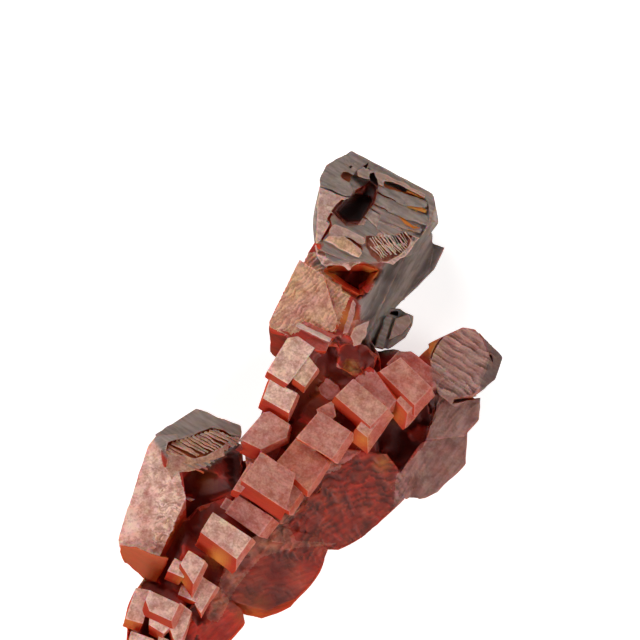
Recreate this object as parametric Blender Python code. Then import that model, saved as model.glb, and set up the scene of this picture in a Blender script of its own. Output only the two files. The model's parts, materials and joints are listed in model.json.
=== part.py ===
"""A cluster of vanadinite crystals grown together, lying on its broken back.

Each crystal is cut from a block by flat planes: one face on top, sides that slope or drop from that face's
edges, and a back. Some are then hollowed, as fast-grown vanadinite is, and all of them are joined into one
solid. Sizes and places are in millimetres on a plan seen from above: x to the right, y up the plan, and
heights above the table that the broken back rests on.
"""

import math

import bmesh
import bpy
from mathutils import Vector, noise

MM = 0.001
NAME = "vanadinite_crystals"
UNDERCUT = math.radians(7.0)  # how far a crystal's walls draw in below its face
BROKEN_BACK = 0.0  # the height of the flat break that the cluster rests on
BLOCK = 120.0  # the block that a crystal is cut from, larger than any of them

PLAN_MIDDLE = (31.0, 22.0)  # the point of the plan that lies over the world's origin
HOLLOW_ABOVE = 4.0  # how far a hollow's cutter stands above its mouth
RIB_TAPER = 0.6  # how wide a rib's far end is, as a share of its start
RIB_ROOT = 0.8  # how deep a rib is rooted below its crystal's face

BELLY = 0.42  # how far down its depth a crystal is widest
DRAW_IN = math.radians(32.0)  # how steeply its walls draw in below that

WAVE_CUTS = 2  # how finely a wavy crystal's faces are divided
WAVE_PITCH = 0.55  # waves for each millimetre across a crystal
WAVE_PITCH_DOWN = 0.3  # and for each millimetre down its sides
FINE_WAVE = (2.3, 0.4)  # the smaller waves: how much closer and how much lower they are
FLAT_BACK = 0.5  # waves start this far above a crystal's lowest point, so that its back stays flat

WALL = (0.0, 0.0, DRAW_IN)  # a side that drops from the face, then draws in to the back
END = (0.0, 0.0, 0.0)  # a side that drops straight to the back, as the end of a prism does
STUMP = (0.0, 0.0, math.radians(14.0))  # a side of a mass that was broken off the rock

crystals = []
hollows = []
ribs = []


def slope(out, down):
    """A side that first slopes, going out and down by these amounts, and drops below that."""
    return (out, down, DRAW_IN)


def crystal(name, height, face, sides, dip=(0.0, 0.0), thick=6.5, waves=0.0):
    """Adds a crystal: the height of its face's middle, the face's corners, and the side from each to the next.

    dip is the direction that the face falls toward and by how much, in degrees. thick is how deep the crystal
    goes below its face, and waves is the height of the ridges that its growth left on it.
    """
    crystals.append((name, height, face, sides, dip, thick, waves))


def hollow(name, height, mouth, deep, draw, dip=(0.0, 0.0)):
    """Adds a hollow: the height of its mouth's middle, the mouth's corners, its depth and how it narrows."""
    hollows.append((name, height, mouth, deep, draw, dip))


def rib(name, on, start, turn, length, width, proud=0.25):
    """Adds a thin straight rib on a crystal's face, from its start in the direction that turn gives, in degrees."""
    ribs.append((name, on, start, turn, length, width, proud))


# --- the broken foot and the wide masses behind the small blocks, which reach the table ---
DOWN_TO_TABLE = 100.0  # deeper than any crystal stands high, so that its back is the broken one
crystal("foot", 6.2, [(12.4, -3.4), (12.9, 3.8), (15.2, 7.6), (19.6, 13.2), (24.0, 14.6), (27.6, 11.6),
                      (24.2, 4.6), (20.6, -0.6), (17.4, -4.2), (14.2, -4.8)],
        [STUMP] * 8 + [END, END], dip=(-30.0, 4.0), thick=DOWN_TO_TABLE)
crystal("red_wall", 8.2, [(25.0, 13.4), (24.5, 18.9), (28.6, 28.4), (31.0, 30.8), (36.4, 31.3), (37.9, 28.6),
                          (38.8, 22.0), (35.8, 18.6), (33.0, 16.0), (29.0, 11.2)],
        [STUMP] * 10, dip=(-35.0, 6.0), thick=DOWN_TO_TABLE)
crystal("hollow_floor", 4.9, [(33.6, 17.4), (36.8, 29.0), (39.9, 29.0), (44.6, 26.2), (45.6, 23.6), (43.8, 18.0),
                              (41.6, 14.9), (38.6, 14.0)],
        [STUMP] * 8, dip=(-70.0, 8.0), thick=DOWN_TO_TABLE)
crystal("lobe_upper", 6.9, [(26.9, 10.0), (28.4, 15.6), (33.6, 19.2), (38.6, 18.7), (40.6, 16.2), (40.6, 14.1),
                            (39.6, 13.2), (38.1, 11.4), (35.5, 9.8), (33.8, 9.0), (32.0, 9.0)],
        [STUMP, STUMP, STUMP, STUMP, STUMP, slope(0.05, 1.2), slope(0.1, 1.4), slope(0.1, 1.4),
         slope(0.1, 1.2), slope(0.1, 1.2), STUMP], dip=(-60.0, 14.0), thick=DOWN_TO_TABLE, waves=0.32)
crystal("lobe_middle", 6.5, [(21.4, 4.3), (23.2, 9.2), (27.6, 11.4), (31.8, 10.4), (32.7, 9.0), (32.4, 7.6),
                             (31.2, 5.8), (29.6, 4.0), (26.7, 2.8)],
        [STUMP, STUMP, STUMP, STUMP, STUMP, slope(0.2, 1.2), slope(0.2, 1.4), slope(0.6, 1.4), slope(1.0, 1.6)],
        dip=(-70.0, 13.0), thick=DOWN_TO_TABLE, waves=0.28)
crystal("lobe_lower", 6.0, [(17.2, -3.2), (18.6, 3.2), (22.0, 4.8), (24.2, 3.0), (24.5, 1.5), (23.1, 0.1),
                            (20.8, -2.6), (19.4, -4.2)],
        [STUMP, STUMP, STUMP, STUMP, slope(0.2, 1.0), slope(0.2, 1.2), slope(0.2, 1.2), END],
        dip=(-60.0, 10.0), thick=DOWN_TO_TABLE, waves=0.2)
crystal("right_low", 6.8, [(37.8, 16.2), (39.4, 18.4), (42.0, 19.6), (43.2, 21.4), (46.7, 20.9), (46.6, 17.6),
                           (43.7, 14.7), (42.0, 14.0), (40.2, 14.2)],
        [STUMP, STUMP, STUMP, STUMP, slope(0.1, 1.2), slope(0.1, 1.4), slope(0.1, 1.2), STUMP, STUMP],
        dip=(-50.0, 8.0), thick=DOWN_TO_TABLE, waves=0.16)
crystal("right_join", 6.2, [(42.4, 19.0), (43.6, 24.6), (46.6, 24.6), (46.3, 20.8), (45.6, 18.6)],
        [STUMP] * 5, dip=(-20.0, 6.0), thick=DOWN_TO_TABLE)
crystal("right_middle", 7.8, [(42.6, 20.0), (44.0, 24.4), (48.1, 24.5), (47.9, 22.1), (46.4, 20.4)],
        [WALL, WALL, slope(0.05, 1.2), slope(0.1, 1.4), WALL], dip=(-30.0, 9.0), thick=6.2, waves=0.14)
crystal("right_crystal", 8.8, [(44.2, 30.2), (46.3, 31.2), (47.6, 30.95), (47.9, 30.7), (49.0, 28.2), (47.8, 24.9),
                               (45.4, 23.4), (43.8, 24.6), (43.0, 28.0)],
        [slope(0.1, 0.9), slope(0.1, 0.9), WALL, slope(1.5, 2.8), slope(1.3, 2.6), slope(0.2, 1.2), WALL, WALL,
         slope(1.3, 1.4)], dip=(40.0, 8.0), thick=7.6, waves=0.1)
crystal("right_root", 6.2, [(41.8, 28.2), (43.2, 29.4), (45.6, 29.6), (47.2, 27.0), (46.8, 22.4), (43.0, 22.0)],
        [WALL] * 6, dip=(-150.0, 6.0), thick=5.4)

# --- the tall crystal, with the crystals that grew beside it ---
crystal("tall_shaft", 10.7, [(28.2, 32.2), (31.0, 39.0), (33.0, 42.0), (38.0, 42.0), (40.6, 38.6), (37.4, 31.6),
                             (36.0, 29.6), (31.0, 29.4)],
        [WALL] * 6 + [STUMP, STUMP], dip=(-60.0, 9.0), thick=DOWN_TO_TABLE)
crystal("tall_side", 8.2, [(43.0, 41.6), (43.5, 39.5), (43.2, 37.2), (39.7, 33.4), (37.0, 30.4), (35.2, 30.2),
                           (35.0, 33.4), (38.0, 37.8), (40.0, 39.6)],
        [WALL, WALL, slope(0.05, 1.2), slope(0.05, 1.2), WALL, WALL, WALL, WALL, WALL], dip=(-38.0, 38.0),
        thick=7.0)
crystal("tall_crown", 11.6, [(32.0, 45.2), (32.8, 47.2), (35.1, 48.6), (42.9, 44.5), (43.2, 41.9), (40.4, 38.2),
                             (35.6, 37.4), (32.0, 39.0), (31.6, 42.4)],
        [slope(0.1, 1.2), slope(0.1, 1.2), (0.3, 0.9, 0.0), slope(0.5, 2.2), slope(0.6, 2.6), WALL, WALL,
         slope(0.5, 1.6), slope(0.2, 1.0)], dip=(63.0, 20.0), thick=10.2)
crystal("tall_lip", 12.7, [(32.4, 39.8), (33.2, 41.4), (34.8, 41.2), (37.0, 40.2), (36.6, 38.8), (35.6, 37.9),
                           (34.4, 37.2), (32.6, 38.2)],
        [END] * 8, dip=(70.0, 12.0), thick=3.4)
crystal("tall_front", 11.6, [(26.95, 31.8), (30.3, 38.4), (31.7, 38.6), (32.4, 36.4), (35.0, 34.7), (33.4, 30.9),
                             (30.6, 30.0), (28.5, 30.4), (27.0, 31.3)],
        [WALL, WALL, WALL, WALL, slope(0.5, 1.4), WALL, WALL, slope(2.1, 3.0), WALL], dip=(245.0, 9.0),
        thick=8.4)
crystal("tall_neighbour", 6.6, [(40.0, 37.6), (41.6, 40.7), (44.45, 39.3), (43.3, 37.0), (40.2, 33.9),
                                (37.8, 34.6)],
        [WALL, END, slope(0.1, 1.0), slope(0.1, 2.0), WALL, WALL], dip=(-20.0, 12.0), thick=5.6)
crystal("tall_spur", 7.0, [(35.8, 29.4), (37.0, 32.8), (39.8, 33.3), (41.3, 32.4), (41.2, 31.5), (40.5, 30.3),
                           (38.8, 29.1)],
        [WALL, WALL, END, slope(0.1, 0.8), slope(0.1, 1.0), slope(0.1, 1.0), WALL], dip=(-10.0, 14.0),
        thick=6.0)

# --- the left crystal, club shaped and hollow under its lid ---
crystal("club_body", 8.5, [(15.7, 20.5), (14.9, 19.6), (11.65, 10.5), (11.85, 9.3), (12.05, 9.0), (15.7, 7.8),
                           (18.6, 14.1), (17.6, 20.6)],
        [WALL, WALL, WALL, WALL, slope(2.1, 2.7), slope(1.2, 2.2), WALL, END], dip=(250.0, 12.0), thick=7.0)
crystal("club_wall", 5.9, [(15.0, 9.0), (17.2, 19.6), (22.0, 20.4), (24.0, 19.6), (24.3, 17.4), (23.4, 14.0),
                           (20.6, 10.6)],
        [END, END, END, slope(0.05, 1.0), slope(0.05, 1.0), WALL, WALL], dip=(205.0, 12.0), thick=4.6)
crystal("club_head", 7.0, [(15.3, 20.1), (19.6, 23.0), (23.7, 21.2), (23.9, 19.8), (19.4, 18.4), (15.5, 18.0)],
        [END, END, WALL, END, END, WALL], dip=(78.0, 30.0), thick=5.6)
crystal("club_lid", 9.0, [(15.6, 20.6), (19.6, 23.25), (23.9, 21.4), (23.9, 19.9), (21.4, 18.0), (19.6, 17.2),
                          (17.6, 16.9), (16.4, 17.4)],
        [END] * 8, dip=(78.0, 30.0), thick=1.9)

# --- the gem-like red block beside the tall crystal's foot ---
crystal("red_block", 9.2, [(33.6, 27.4), (33.9, 30.4), (36.5, 29.5), (37.8, 28.5), (37.4, 26.8), (36.0, 26.0)],
        [WALL] * 6, dip=(-60.0, 9.0))

# --- the middle row of small blocks, from the upper right down to the lower left ---
ROW_DIP = (57.0, 5.0)
crystal("row_1", 10.9, [(37.9, 26.9), (40.0, 28.3), (43.1, 25.3), (41.4, 23.5)],
        [WALL, WALL, slope(0.9, 1.6), slope(0.8, 1.2)], ROW_DIP)
crystal("row_1_step", 10.5, [(39.6, 24.0), (42.0, 26.4), (43.0, 25.2), (40.7, 22.7)],
        [WALL, WALL, slope(0.85, 1.6), slope(1.4, 1.9)], ROW_DIP)
crystal("row_1_behind", 9.7, [(38.6, 27.6), (39.8, 28.9), (41.1, 28.9), (44.3, 26.3), (43.0, 25.0)],
        [WALL, WALL, WALL, slope(0.5, 1.0), WALL], ROW_DIP)
crystal("row_2", 11.9, [(33.5, 24.4), (35.3, 26.2), (38.8, 23.2), (37.0, 21.4)],
        [WALL, WALL, slope(1.0, 1.7), slope(0.9, 1.5)], ROW_DIP)
crystal("row_2_step", 11.6, [(35.6, 21.2), (37.7, 24.1), (38.7, 23.1), (36.7, 20.3)],
        [WALL, WALL, slope(0.95, 1.7), slope(1.3, 1.8)], ROW_DIP)
crystal("row_2_behind", 10.6, [(35.4, 26.0), (36.6, 27.4), (37.6, 26.8), (39.6, 24.0), (38.8, 23.0)],
        [WALL, WALL, slope(0.3, 1.0), slope(0.5, 1.2), WALL], ROW_DIP)
crystal("row_3", 11.9, [(29.6, 20.3), (31.9, 23.0), (35.1, 20.9), (33.2, 18.1)],
        [WALL, WALL, slope(0.7, 1.6), slope(0.15, 1.0)], ROW_DIP)
crystal("row_3_behind", 11.0, [(31.6, 23.1), (33.3, 24.0), (33.6, 22.4), (32.2, 21.5)],
        [WALL] * 4, ROW_DIP)
crystal("row_4", 10.6, [(27.7, 17.9), (29.7, 20.4), (32.9, 18.0), (30.8, 14.9)],
        [WALL, WALL, slope(0.5, 1.8), slope(0.5, 0.9)], ROW_DIP)
crystal("row_4_step", 10.0, [(28.0, 13.4), (29.3, 16.2), (30.3, 14.9), (28.9, 12.9)],
        [WALL, WALL, slope(0.6, 2.0), slope(0.3, 0.8)], ROW_DIP)
crystal("row_5", 12.0, [(24.2, 16.0), (26.1, 18.9), (29.6, 16.7), (28.6, 13.1)],
        [WALL, WALL, WALL, slope(1.2, 1.8)], ROW_DIP)
crystal("row_5_step", 11.5, [(23.3, 15.1), (25.0, 17.9), (26.0, 17.2), (24.1, 14.8)],
        [WALL, WALL, WALL, slope(0.6, 1.0)], ROW_DIP)
crystal("row_6", 10.2, [(22.5, 12.8), (23.7, 14.6), (27.3, 12.3), (25.9, 10.4)],
        [WALL, WALL, slope(0.9, 1.4), WALL], ROW_DIP)
crystal("row_6_step", 9.5, [(22.0, 13.3), (22.6, 14.3), (23.6, 13.7), (22.8, 12.9)],
        [WALL] * 4, ROW_DIP)
crystal("row_7", 11.7, [(20.1, 10.9), (21.3, 12.9), (25.2, 10.3), (23.7, 8.2)],
        [WALL, WALL, slope(0.6, 1.4), slope(1.5, 2.0)], ROW_DIP)
crystal("row_8", 11.3, [(18.1, 7.7), (18.9, 9.1), (20.6, 8.0), (19.4, 5.7)],
        [WALL, WALL, slope(0.5, 1.4), slope(0.9, 1.3)], ROW_DIP)
crystal("row_8_step", 10.8, [(16.8, 7.0), (17.5, 8.3), (19.0, 7.5), (18.4, 6.3)],
        [WALL, WALL, WALL, slope(0.9, 1.3)], ROW_DIP)
crystal("row_8_wing", 9.2, [(19.5, 3.6), (19.9, 6.6), (21.7, 5.4), (20.1, 2.7)],
        [WALL, WALL, slope(0.3, 1.0), slope(0.3, 1.0)], ROW_DIP)
crystal("row_8_ledge", 9.4, [(17.8, 4.6), (18.2, 5.6), (20.2, 4.9), (19.6, 3.8)],
        [WALL, WALL, WALL, slope(0.4, 0.8)], ROW_DIP)
crystal("row_9", 11.1, [(14.6, 4.1), (15.0, 5.1), (18.0, 3.7), (17.2, 2.0), (15.0, 3.0)],
        [WALL, WALL, slope(0.6, 1.4), slope(0.7, 1.0), slope(0.7, 1.0)], ROW_DIP)
crystal("row_9_left", 10.2, [(12.6, 2.2), (13.6, 5.3), (15.2, 5.0), (14.3, 1.7)],
        [slope(0.1, 1.2), WALL, WALL, slope(0.9, 1.2)], ROW_DIP)
crystal("row_9_wing", 9.6, [(17.0, 1.2), (18.0, 3.8), (19.2, 2.9), (18.6, 1.0), (17.8, -1.0)],
        [WALL, WALL, slope(0.2, 1.4), slope(0.2, 1.4), slope(0.4, 1.0)], ROW_DIP)
crystal("row_10", 10.1, [(14.9, 1.6), (15.0, 2.7), (17.2, 1.5), (16.4, 0.7)],
        [WALL, WALL, slope(0.3, 1.0), slope(0.8, 1.0)], ROW_DIP)
crystal("row_11", 10.3, [(12.6, -1.4), (13.1, 1.0), (15.4, 0.2), (14.8, -2.0)],
        [WALL, WALL, slope(0.3, 1.0), slope(0.8, 1.0)], ROW_DIP)
crystal("row_12", 9.6, [(15.2, -2.2), (15.9, 0.5), (18.0, -0.4), (17.2, -3.0)],
        [WALL, WALL, slope(0.3, 1.0), slope(0.6, 1.2)], ROW_DIP)

# --- the left row of small blocks, up to the foot of the tall crystal ---
crystal("side_1", 11.4, [(26.7, 26.9), (28.7, 30.2), (29.8, 30.4), (31.5, 29.2), (28.8, 25.6)],
        [WALL, WALL, WALL, WALL, slope(0.6, 1.0)], ROW_DIP)
crystal("side_1_step", 11.2, [(29.3, 26.2), (30.7, 28.6), (31.8, 27.2), (30.5, 25.3)],
        [WALL, WALL, slope(0.3, 1.4), slope(0.6, 0.9)], ROW_DIP)
crystal("side_1_ledge", 11.0, [(28.6, 30.3), (29.8, 31.4), (33.0, 30.0), (32.6, 28.9), (31.4, 29.0)],
        [WALL, WALL, WALL, slope(0.2, 1.0), WALL], ROW_DIP)
crystal("side_1_top", 11.7, [(29.6, 31.3), (30.4, 31.9), (33.7, 30.4), (33.0, 29.6)],
        [WALL] * 4, ROW_DIP)
crystal("side_2", 10.8, [(26.3, 24.2), (27.0, 26.1), (29.8, 24.7), (28.9, 22.7)],
        [slope(0.1, 1.6), WALL, slope(0.3, 1.4), slope(1.1, 1.5)], ROW_DIP)
crystal("side_3", 10.6, [(24.0, 20.1), (26.3, 22.8), (27.0, 22.9), (29.0, 21.6), (28.7, 20.3), (26.1, 19.1)],
        [WALL, WALL, WALL, slope(0.3, 1.4), slope(0.6, 1.2), slope(1.3, 1.7)], ROW_DIP)

# --- hollows that the crystals left as they grew ---
hollow("tall_pit", 11.7, [(33.0, 42.8), (34.3, 44.4), (35.4, 45.0), (37.2, 44.6), (37.6, 43.8), (36.2, 41.4),
                          (34.5, 41.4)], 2.8, 10.0, dip=(63.0, 20.0))
hollow("tall_pit_head", 10.8, [(34.1, 46.4), (34.4, 47.0), (36.9, 46.2), (38.0, 45.4), (37.7, 44.2), (36.4, 44.6),
                               (35.6, 45.4)], 1.5, 12.0, dip=(63.0, 20.0))
hollow("tall_diamond", 11.2, [(32.3, 36.9), (33.4, 37.4), (36.4, 37.6), (38.0, 37.0), (36.8, 35.1), (36.0, 34.3),
                              (34.4, 35.2)], 3.0, 12.0)
hollow("tall_slot_upper", 10.6, [(38.2, 45.6), (38.5, 46.0), (42.3, 44.5), (42.3, 44.1)], 1.3, 3.0,
       dip=(63.0, 20.0))
hollow("tall_slot_inner", 12.3, [(37.4, 40.2), (37.8, 40.8), (41.4, 40.3), (41.6, 39.7), (39.4, 39.3)], 1.5, 6.0,
       dip=(63.0, 20.0))
hollow("spur_notch", 7.2, [(38.9, 32.6), (39.1, 32.9), (39.9, 32.9), (39.8, 32.4)], 1.6, 5.0)
hollow("lid_pocket", 9.3, [(16.9, 19.6), (19.6, 20.6), (21.2, 21.3), (23.8, 20.1), (24.6, 18.6), (21.4, 17.0),
                           (19.6, 15.8), (16.6, 16.9)], 0.55, 3.0, dip=(78.0, 30.0))
hollow("right_crack", 8.0, [(45.3, 23.7), (45.4, 24.0), (48.6, 24.6), (48.6, 24.2)], 2.2, 4.0)

# --- thin ribs: on the left crystal's lid, and the plates and needles of the tall crystal's crown ---
LID_RIBS = 10
for i in range(LID_RIBS):
    t = i / (LID_RIBS - 1)
    rib(f"lid_rib_{i + 1}", "club_lid", (17.2 + 4.2 * t, 18.3 + 2.6 * t), -26.0, 3.6 - 1.2 * t, 0.24, 0.05)
CROWN_PLATES = 4
for i in range(CROWN_PLATES):
    rib(f"crown_plate_{i + 1}", "tall_crown", (38.3 - 0.2 * i, 44.4 - 1.0 * i), -20.0, 4.6 - 0.2 * i, 0.7, 0.35)
CROWN_NEEDLES = 5
for i in range(CROWN_NEEDLES):
    rib(f"crown_needle_{i + 1}", "tall_crown", (36.6 + 0.75 * i, 39.9 + 0.1 * i), -56.0, 2.0 - 0.1 * i, 0.26, 0.2)


def cut(solid, point, outward):
    """Takes away all that lies beyond a plane, and closes the cut with one flat face."""
    parts = solid.verts[:] + solid.edges[:] + solid.faces[:]
    done = bmesh.ops.bisect_plane(solid, geom=parts, plane_co=point, plane_no=outward, clear_outer=True)
    rim = [part for part in done["geom_cut"] if isinstance(part, bmesh.types.BMEdge)]
    if rim:
        bmesh.ops.edgeloop_fill(solid, edges=rim)


def tilted(height, corners, dip):
    """The face's middle, its slope as a falling direction, and its corners at their heights."""
    middle = sum((Vector(corner) for corner in corners), Vector((0.0, 0.0))) / len(corners)
    heading = math.radians(dip[0])
    fall = Vector((math.cos(heading), math.sin(heading))) * math.tan(math.radians(dip[1]))
    raised = [Vector((*corner, height - (Vector(corner) - middle).dot(fall))) for corner in corners]
    return Vector((*middle, height)), fall, raised


def sloping_plane(start, end, lower, away):
    """The outward direction of the plane through an edge and a point below it."""
    facing = (end - start).cross(lower - start).normalized()
    return facing if facing.dot(away) > 0 else -facing


def cut_crystal(height, face, sides, dip, thick, undercut=UNDERCUT, above=0.0, slab=False):
    """The solid of one crystal. Its face may lie above its corners, and a slab's back is parallel to its face."""
    middle, fall, corners = tilted(height, face, dip)
    back = BROKEN_BACK if slab else max(height - thick, BROKEN_BACK)
    up = Vector((0.0, 0.0, 1.0))
    solid = bmesh.new()
    bmesh.ops.create_cube(solid, size=BLOCK)
    bmesh.ops.translate(solid, vec=Vector((middle.x, middle.y, back + BLOCK / 2)), verts=solid.verts[:])
    facing = Vector((fall.x, fall.y, 1.0)).normalized()
    cut(solid, middle + up * above, facing)
    if slab:
        cut(solid, middle - up * thick, -facing)
    for i, (out, down, draw_in) in enumerate(sides):
        start = corners[i]
        end = corners[(i + 1) % len(corners)]
        along = end - start
        away = Vector((along.y, -along.x, 0.0)).normalized()
        if away.dot(start - middle) < 0:
            away = -away
        lower = start + away * out - up * down
        if down:
            cut(solid, start, sloping_plane(start, end, lower, away))
        level = Vector((along.x, along.y, 0.0)).normalized()
        wall_foot = lower - away * math.sin(undercut) - up * math.cos(undercut)
        cut(solid, lower, sloping_plane(lower, lower + level, wall_foot, away))
        if draw_in:
            belly = lower.lerp(Vector((lower.x, lower.y, back)), BELLY)
            belly_foot = belly - away * math.sin(draw_in) - up * math.cos(draw_in)
            cut(solid, belly, sloping_plane(belly, belly + level, belly_foot, away))
    bmesh.ops.recalc_face_normals(solid, faces=solid.faces[:])
    return solid


def add_waves(solid, waves):
    """Low winding ridges over all but the back."""
    bmesh.ops.triangulate(solid, faces=solid.faces[:], ngon_method="BEAUTY")
    bmesh.ops.subdivide_edges(solid, edges=solid.edges[:], cuts=WAVE_CUTS, use_grid_fill=True)
    lowest = min(vert.co.z for vert in solid.verts)
    closer, lower = FINE_WAVE
    for vert in solid.verts:
        if vert.co.z > lowest + FLAT_BACK:
            spot = Vector((vert.co.x * WAVE_PITCH, vert.co.y * WAVE_PITCH, vert.co.z * WAVE_PITCH_DOWN))
            vert.co.z += waves * (noise.noise(spot) + lower * noise.noise(spot * closer))
    bmesh.ops.triangulate(solid, faces=solid.faces[:])


def collection(name):
    made = bpy.data.collections.new(name)
    bpy.context.scene.collection.children.link(made)
    return made


def place(name, solid, into):
    """Makes an object of a solid on the plan, with the plan's middle at the world's origin."""
    bmesh.ops.translate(solid, vec=(-PLAN_MIDDLE[0], -PLAN_MIDDLE[1], 0.0), verts=solid.verts[:])
    bmesh.ops.scale(solid, vec=(MM, MM, MM), verts=solid.verts[:])
    mesh = bpy.data.meshes.new(name)
    solid.to_mesh(mesh)
    solid.free()
    obj = bpy.data.objects.new(name, mesh)
    into.objects.link(obj)
    return obj


def guide(name, solid, into):
    obj = place(name, solid, into)
    obj.hide_render = True
    obj.display_type = "WIRE"
    return obj


def boolean(obj, operation, operands):
    modifier = obj.modifiers.new(operation.title(), "BOOLEAN")
    modifier.operation = operation
    modifier.solver = "EXACT"
    modifier.operand_type = "COLLECTION"
    modifier.collection = operands


def cut_rib(on, start, turn, length, width, proud):
    """The solid of one rib, at the height of the crystal's face that it lies on."""
    height, face, dip = next((row[1], row[2], row[4]) for row in crystals if row[0] == on)
    middle, fall, _ = tilted(height, face, dip)
    along = Vector((math.cos(math.radians(turn)), math.sin(math.radians(turn))))
    side = Vector((-along.y, along.x)) * width / 2
    start = Vector(start)
    end = start + along * length
    corners = [start - side, start + side, end + side * RIB_TAPER, end - side * RIB_TAPER]
    centre = sum(corners, Vector((0.0, 0.0))) / len(corners)
    rib_height = height - (centre - middle.to_2d()).dot(fall) + proud
    return cut_crystal(rib_height, corners, [END] * 4, dip, proud + RIB_ROOT, slab=True)


def vanadinite():
    material = bpy.data.materials.new("vanadinite")
    material.use_nodes = True
    shader = material.node_tree.nodes["Principled BSDF"]
    shader.inputs["Base Color"].default_value = (0.33, 0.08, 0.04, 1.0)
    shader.inputs["Roughness"].default_value = 0.3
    shader.inputs["Metallic"].default_value = 0.0
    return material


def main():
    for old in list(bpy.data.objects):
        bpy.data.objects.remove(old)
    finished = collection(NAME)
    grown = collection("crystals")
    hollowed = collection("hollows")
    ribbed = collection("ribs")
    cluster = None
    for name, height, face, sides, dip, thick, waves in crystals:
        solid = cut_crystal(height, face, sides, dip, thick)
        if waves:
            add_waves(solid, waves)
        if cluster is None:
            cluster = place(NAME, solid, finished)
        else:
            guide(name, solid, grown)
    for name, height, mouth, deep, draw, dip in hollows:
        solid = cut_crystal(height, mouth, [END] * len(mouth), dip, deep, math.radians(draw), HOLLOW_ABOVE, True)
        guide(name, solid, hollowed)
    for name, *shape in ribs:
        guide(name, cut_rib(*shape), ribbed)
    boolean(cluster, "UNION", grown)
    boolean(cluster, "DIFFERENCE", hollowed)
    boolean(cluster, "UNION", ribbed)
    cluster.data.materials.append(vanadinite())


main()
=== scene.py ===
"""A cluster of vanadinite crystals lying on its broken back, seen from straight above on a pale table.

The crystals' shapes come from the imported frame. This script divides their faces finely, carves the growth
lines, plates and pits into them, and gives them the mineral's colour, shine and depth. Sizes are in
millimetres on a plan seen from above, x to the right and y up the plan, until a mesh is finished.
"""

import json
import math
from collections import namedtuple

import bmesh
import bpy
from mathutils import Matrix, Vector, noise

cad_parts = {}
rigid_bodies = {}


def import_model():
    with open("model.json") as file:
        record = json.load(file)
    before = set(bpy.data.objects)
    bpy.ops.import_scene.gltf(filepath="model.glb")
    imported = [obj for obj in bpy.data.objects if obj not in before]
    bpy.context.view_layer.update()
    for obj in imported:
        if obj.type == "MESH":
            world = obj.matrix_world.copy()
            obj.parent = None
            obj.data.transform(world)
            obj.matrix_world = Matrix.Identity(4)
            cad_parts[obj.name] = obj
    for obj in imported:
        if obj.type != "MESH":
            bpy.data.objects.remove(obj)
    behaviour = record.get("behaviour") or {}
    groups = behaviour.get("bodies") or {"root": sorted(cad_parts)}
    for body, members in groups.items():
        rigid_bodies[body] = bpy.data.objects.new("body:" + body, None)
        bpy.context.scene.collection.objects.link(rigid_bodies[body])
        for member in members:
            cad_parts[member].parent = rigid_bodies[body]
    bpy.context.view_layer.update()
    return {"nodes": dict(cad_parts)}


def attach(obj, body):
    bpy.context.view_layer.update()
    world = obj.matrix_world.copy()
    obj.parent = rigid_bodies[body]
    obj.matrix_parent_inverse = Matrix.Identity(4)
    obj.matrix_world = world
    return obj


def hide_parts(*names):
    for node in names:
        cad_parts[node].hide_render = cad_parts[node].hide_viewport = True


MM = 0.001
PLAN_MIDDLE = Vector((31.0, 22.0, 0.0))  # the point of the plan that lies over the world's origin
FLAT_BACK = 0.4  # below this height the broken back stays as flat as the table it rests on

PLAIN_EDGE = 0.6  # the longest edge left on a plain face that can be seen from above
RIM_EDGE = 0.3  # on the strip beside a sharp edge
WALL_EDGE = 1.0  # on faces that stand upright
HIDDEN_EDGE = 2.5  # and on faces that look down
MOST_DIVISIONS = 9
RIM_DIVISIONS = 2
MERGED = 0.004  # corners that lie nearer than this are one
SLIVER = 0.003  # a face narrower than this is taken out
ONE_FACE_ANGLE = math.radians(0.8)  # faces that lean less than this apart are one flat face
WORN_ANGLE = math.radians(25.0)  # an edge sharper than this is worn
SHARP_ANGLE = math.radians(32.0)  # and one sharper than this stays crisp in its shading
WEAR = 0.1  # how far a worn edge moves toward its neighbours

# how much of a face's direction points up
FACES_DOWN = -0.5  # less than this, and it looks down
FACES_UP = 0.05  # less than this, and it stands upright
SLOPES_UP = 0.3  # more than this, and growth steps show on it
LIES_FLAT = 0.9  # more than this, and it is the front of a crystal

# what is noted on each face: how much frosted skin with painted sheen, tan, grey as a crystal's tip,
# darkness with painted shade, amber with painted glow, brown and painted glow from within it has, and the
# heading of its growth lines
MARKS = ("frost_and_painted_sheen", "tan", "tip", "deep", "amber_and_painted_glow", "brown", "painted_glow", "turn")

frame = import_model()


# --- areas of the plan ---
class Area:
    """An outline on the plan, with a smooth step of a given width across its edge."""

    def __init__(self, corners, fade=1.0):
        self.corners = corners
        self.fade = fade
        self.low = [min(corner[i] for corner in corners) - fade for i in (0, 1)]
        self.high = [max(corner[i] for corner in corners) + fade for i in (0, 1)]

    def holds(self, x, y):
        """Whether a point of the plan lies inside the outline."""
        within = False
        ax, ay = self.corners[-1]
        for bx, by in self.corners:
            if (by > y) != (ay > y) and x < (ax - bx) * (y - by) / (ay - by) + bx:
                within = not within
            ax, ay = bx, by
        return within

    def edge_distance(self, x, y):
        """How far a point of the plan lies from the nearest edge."""
        nearest = math.inf
        ax, ay = self.corners[-1]
        for bx, by in self.corners:
            dx, dy = bx - ax, by - ay
            along = max(0.0, min(1.0, ((x - ax) * dx + (y - ay) * dy) / (dx * dx + dy * dy)))
            nearest = min(nearest, math.hypot(x - ax - along * dx, y - ay - along * dy))
            ax, ay = bx, by
        return nearest

    def cover(self, spot):
        """1 well inside the outline, 0 well outside it, and a smooth step across its edge."""
        x, y = spot.x, spot.y
        if not (self.low[0] < x < self.high[0] and self.low[1] < y < self.high[1]):
            return 0.0
        distance = self.edge_distance(x, y)
        if not self.holds(x, y):
            distance = -distance
        part = max(0.0, min(1.0, distance / self.fade + 0.5))
        return part * part * (3.0 - 2.0 * part)


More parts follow.
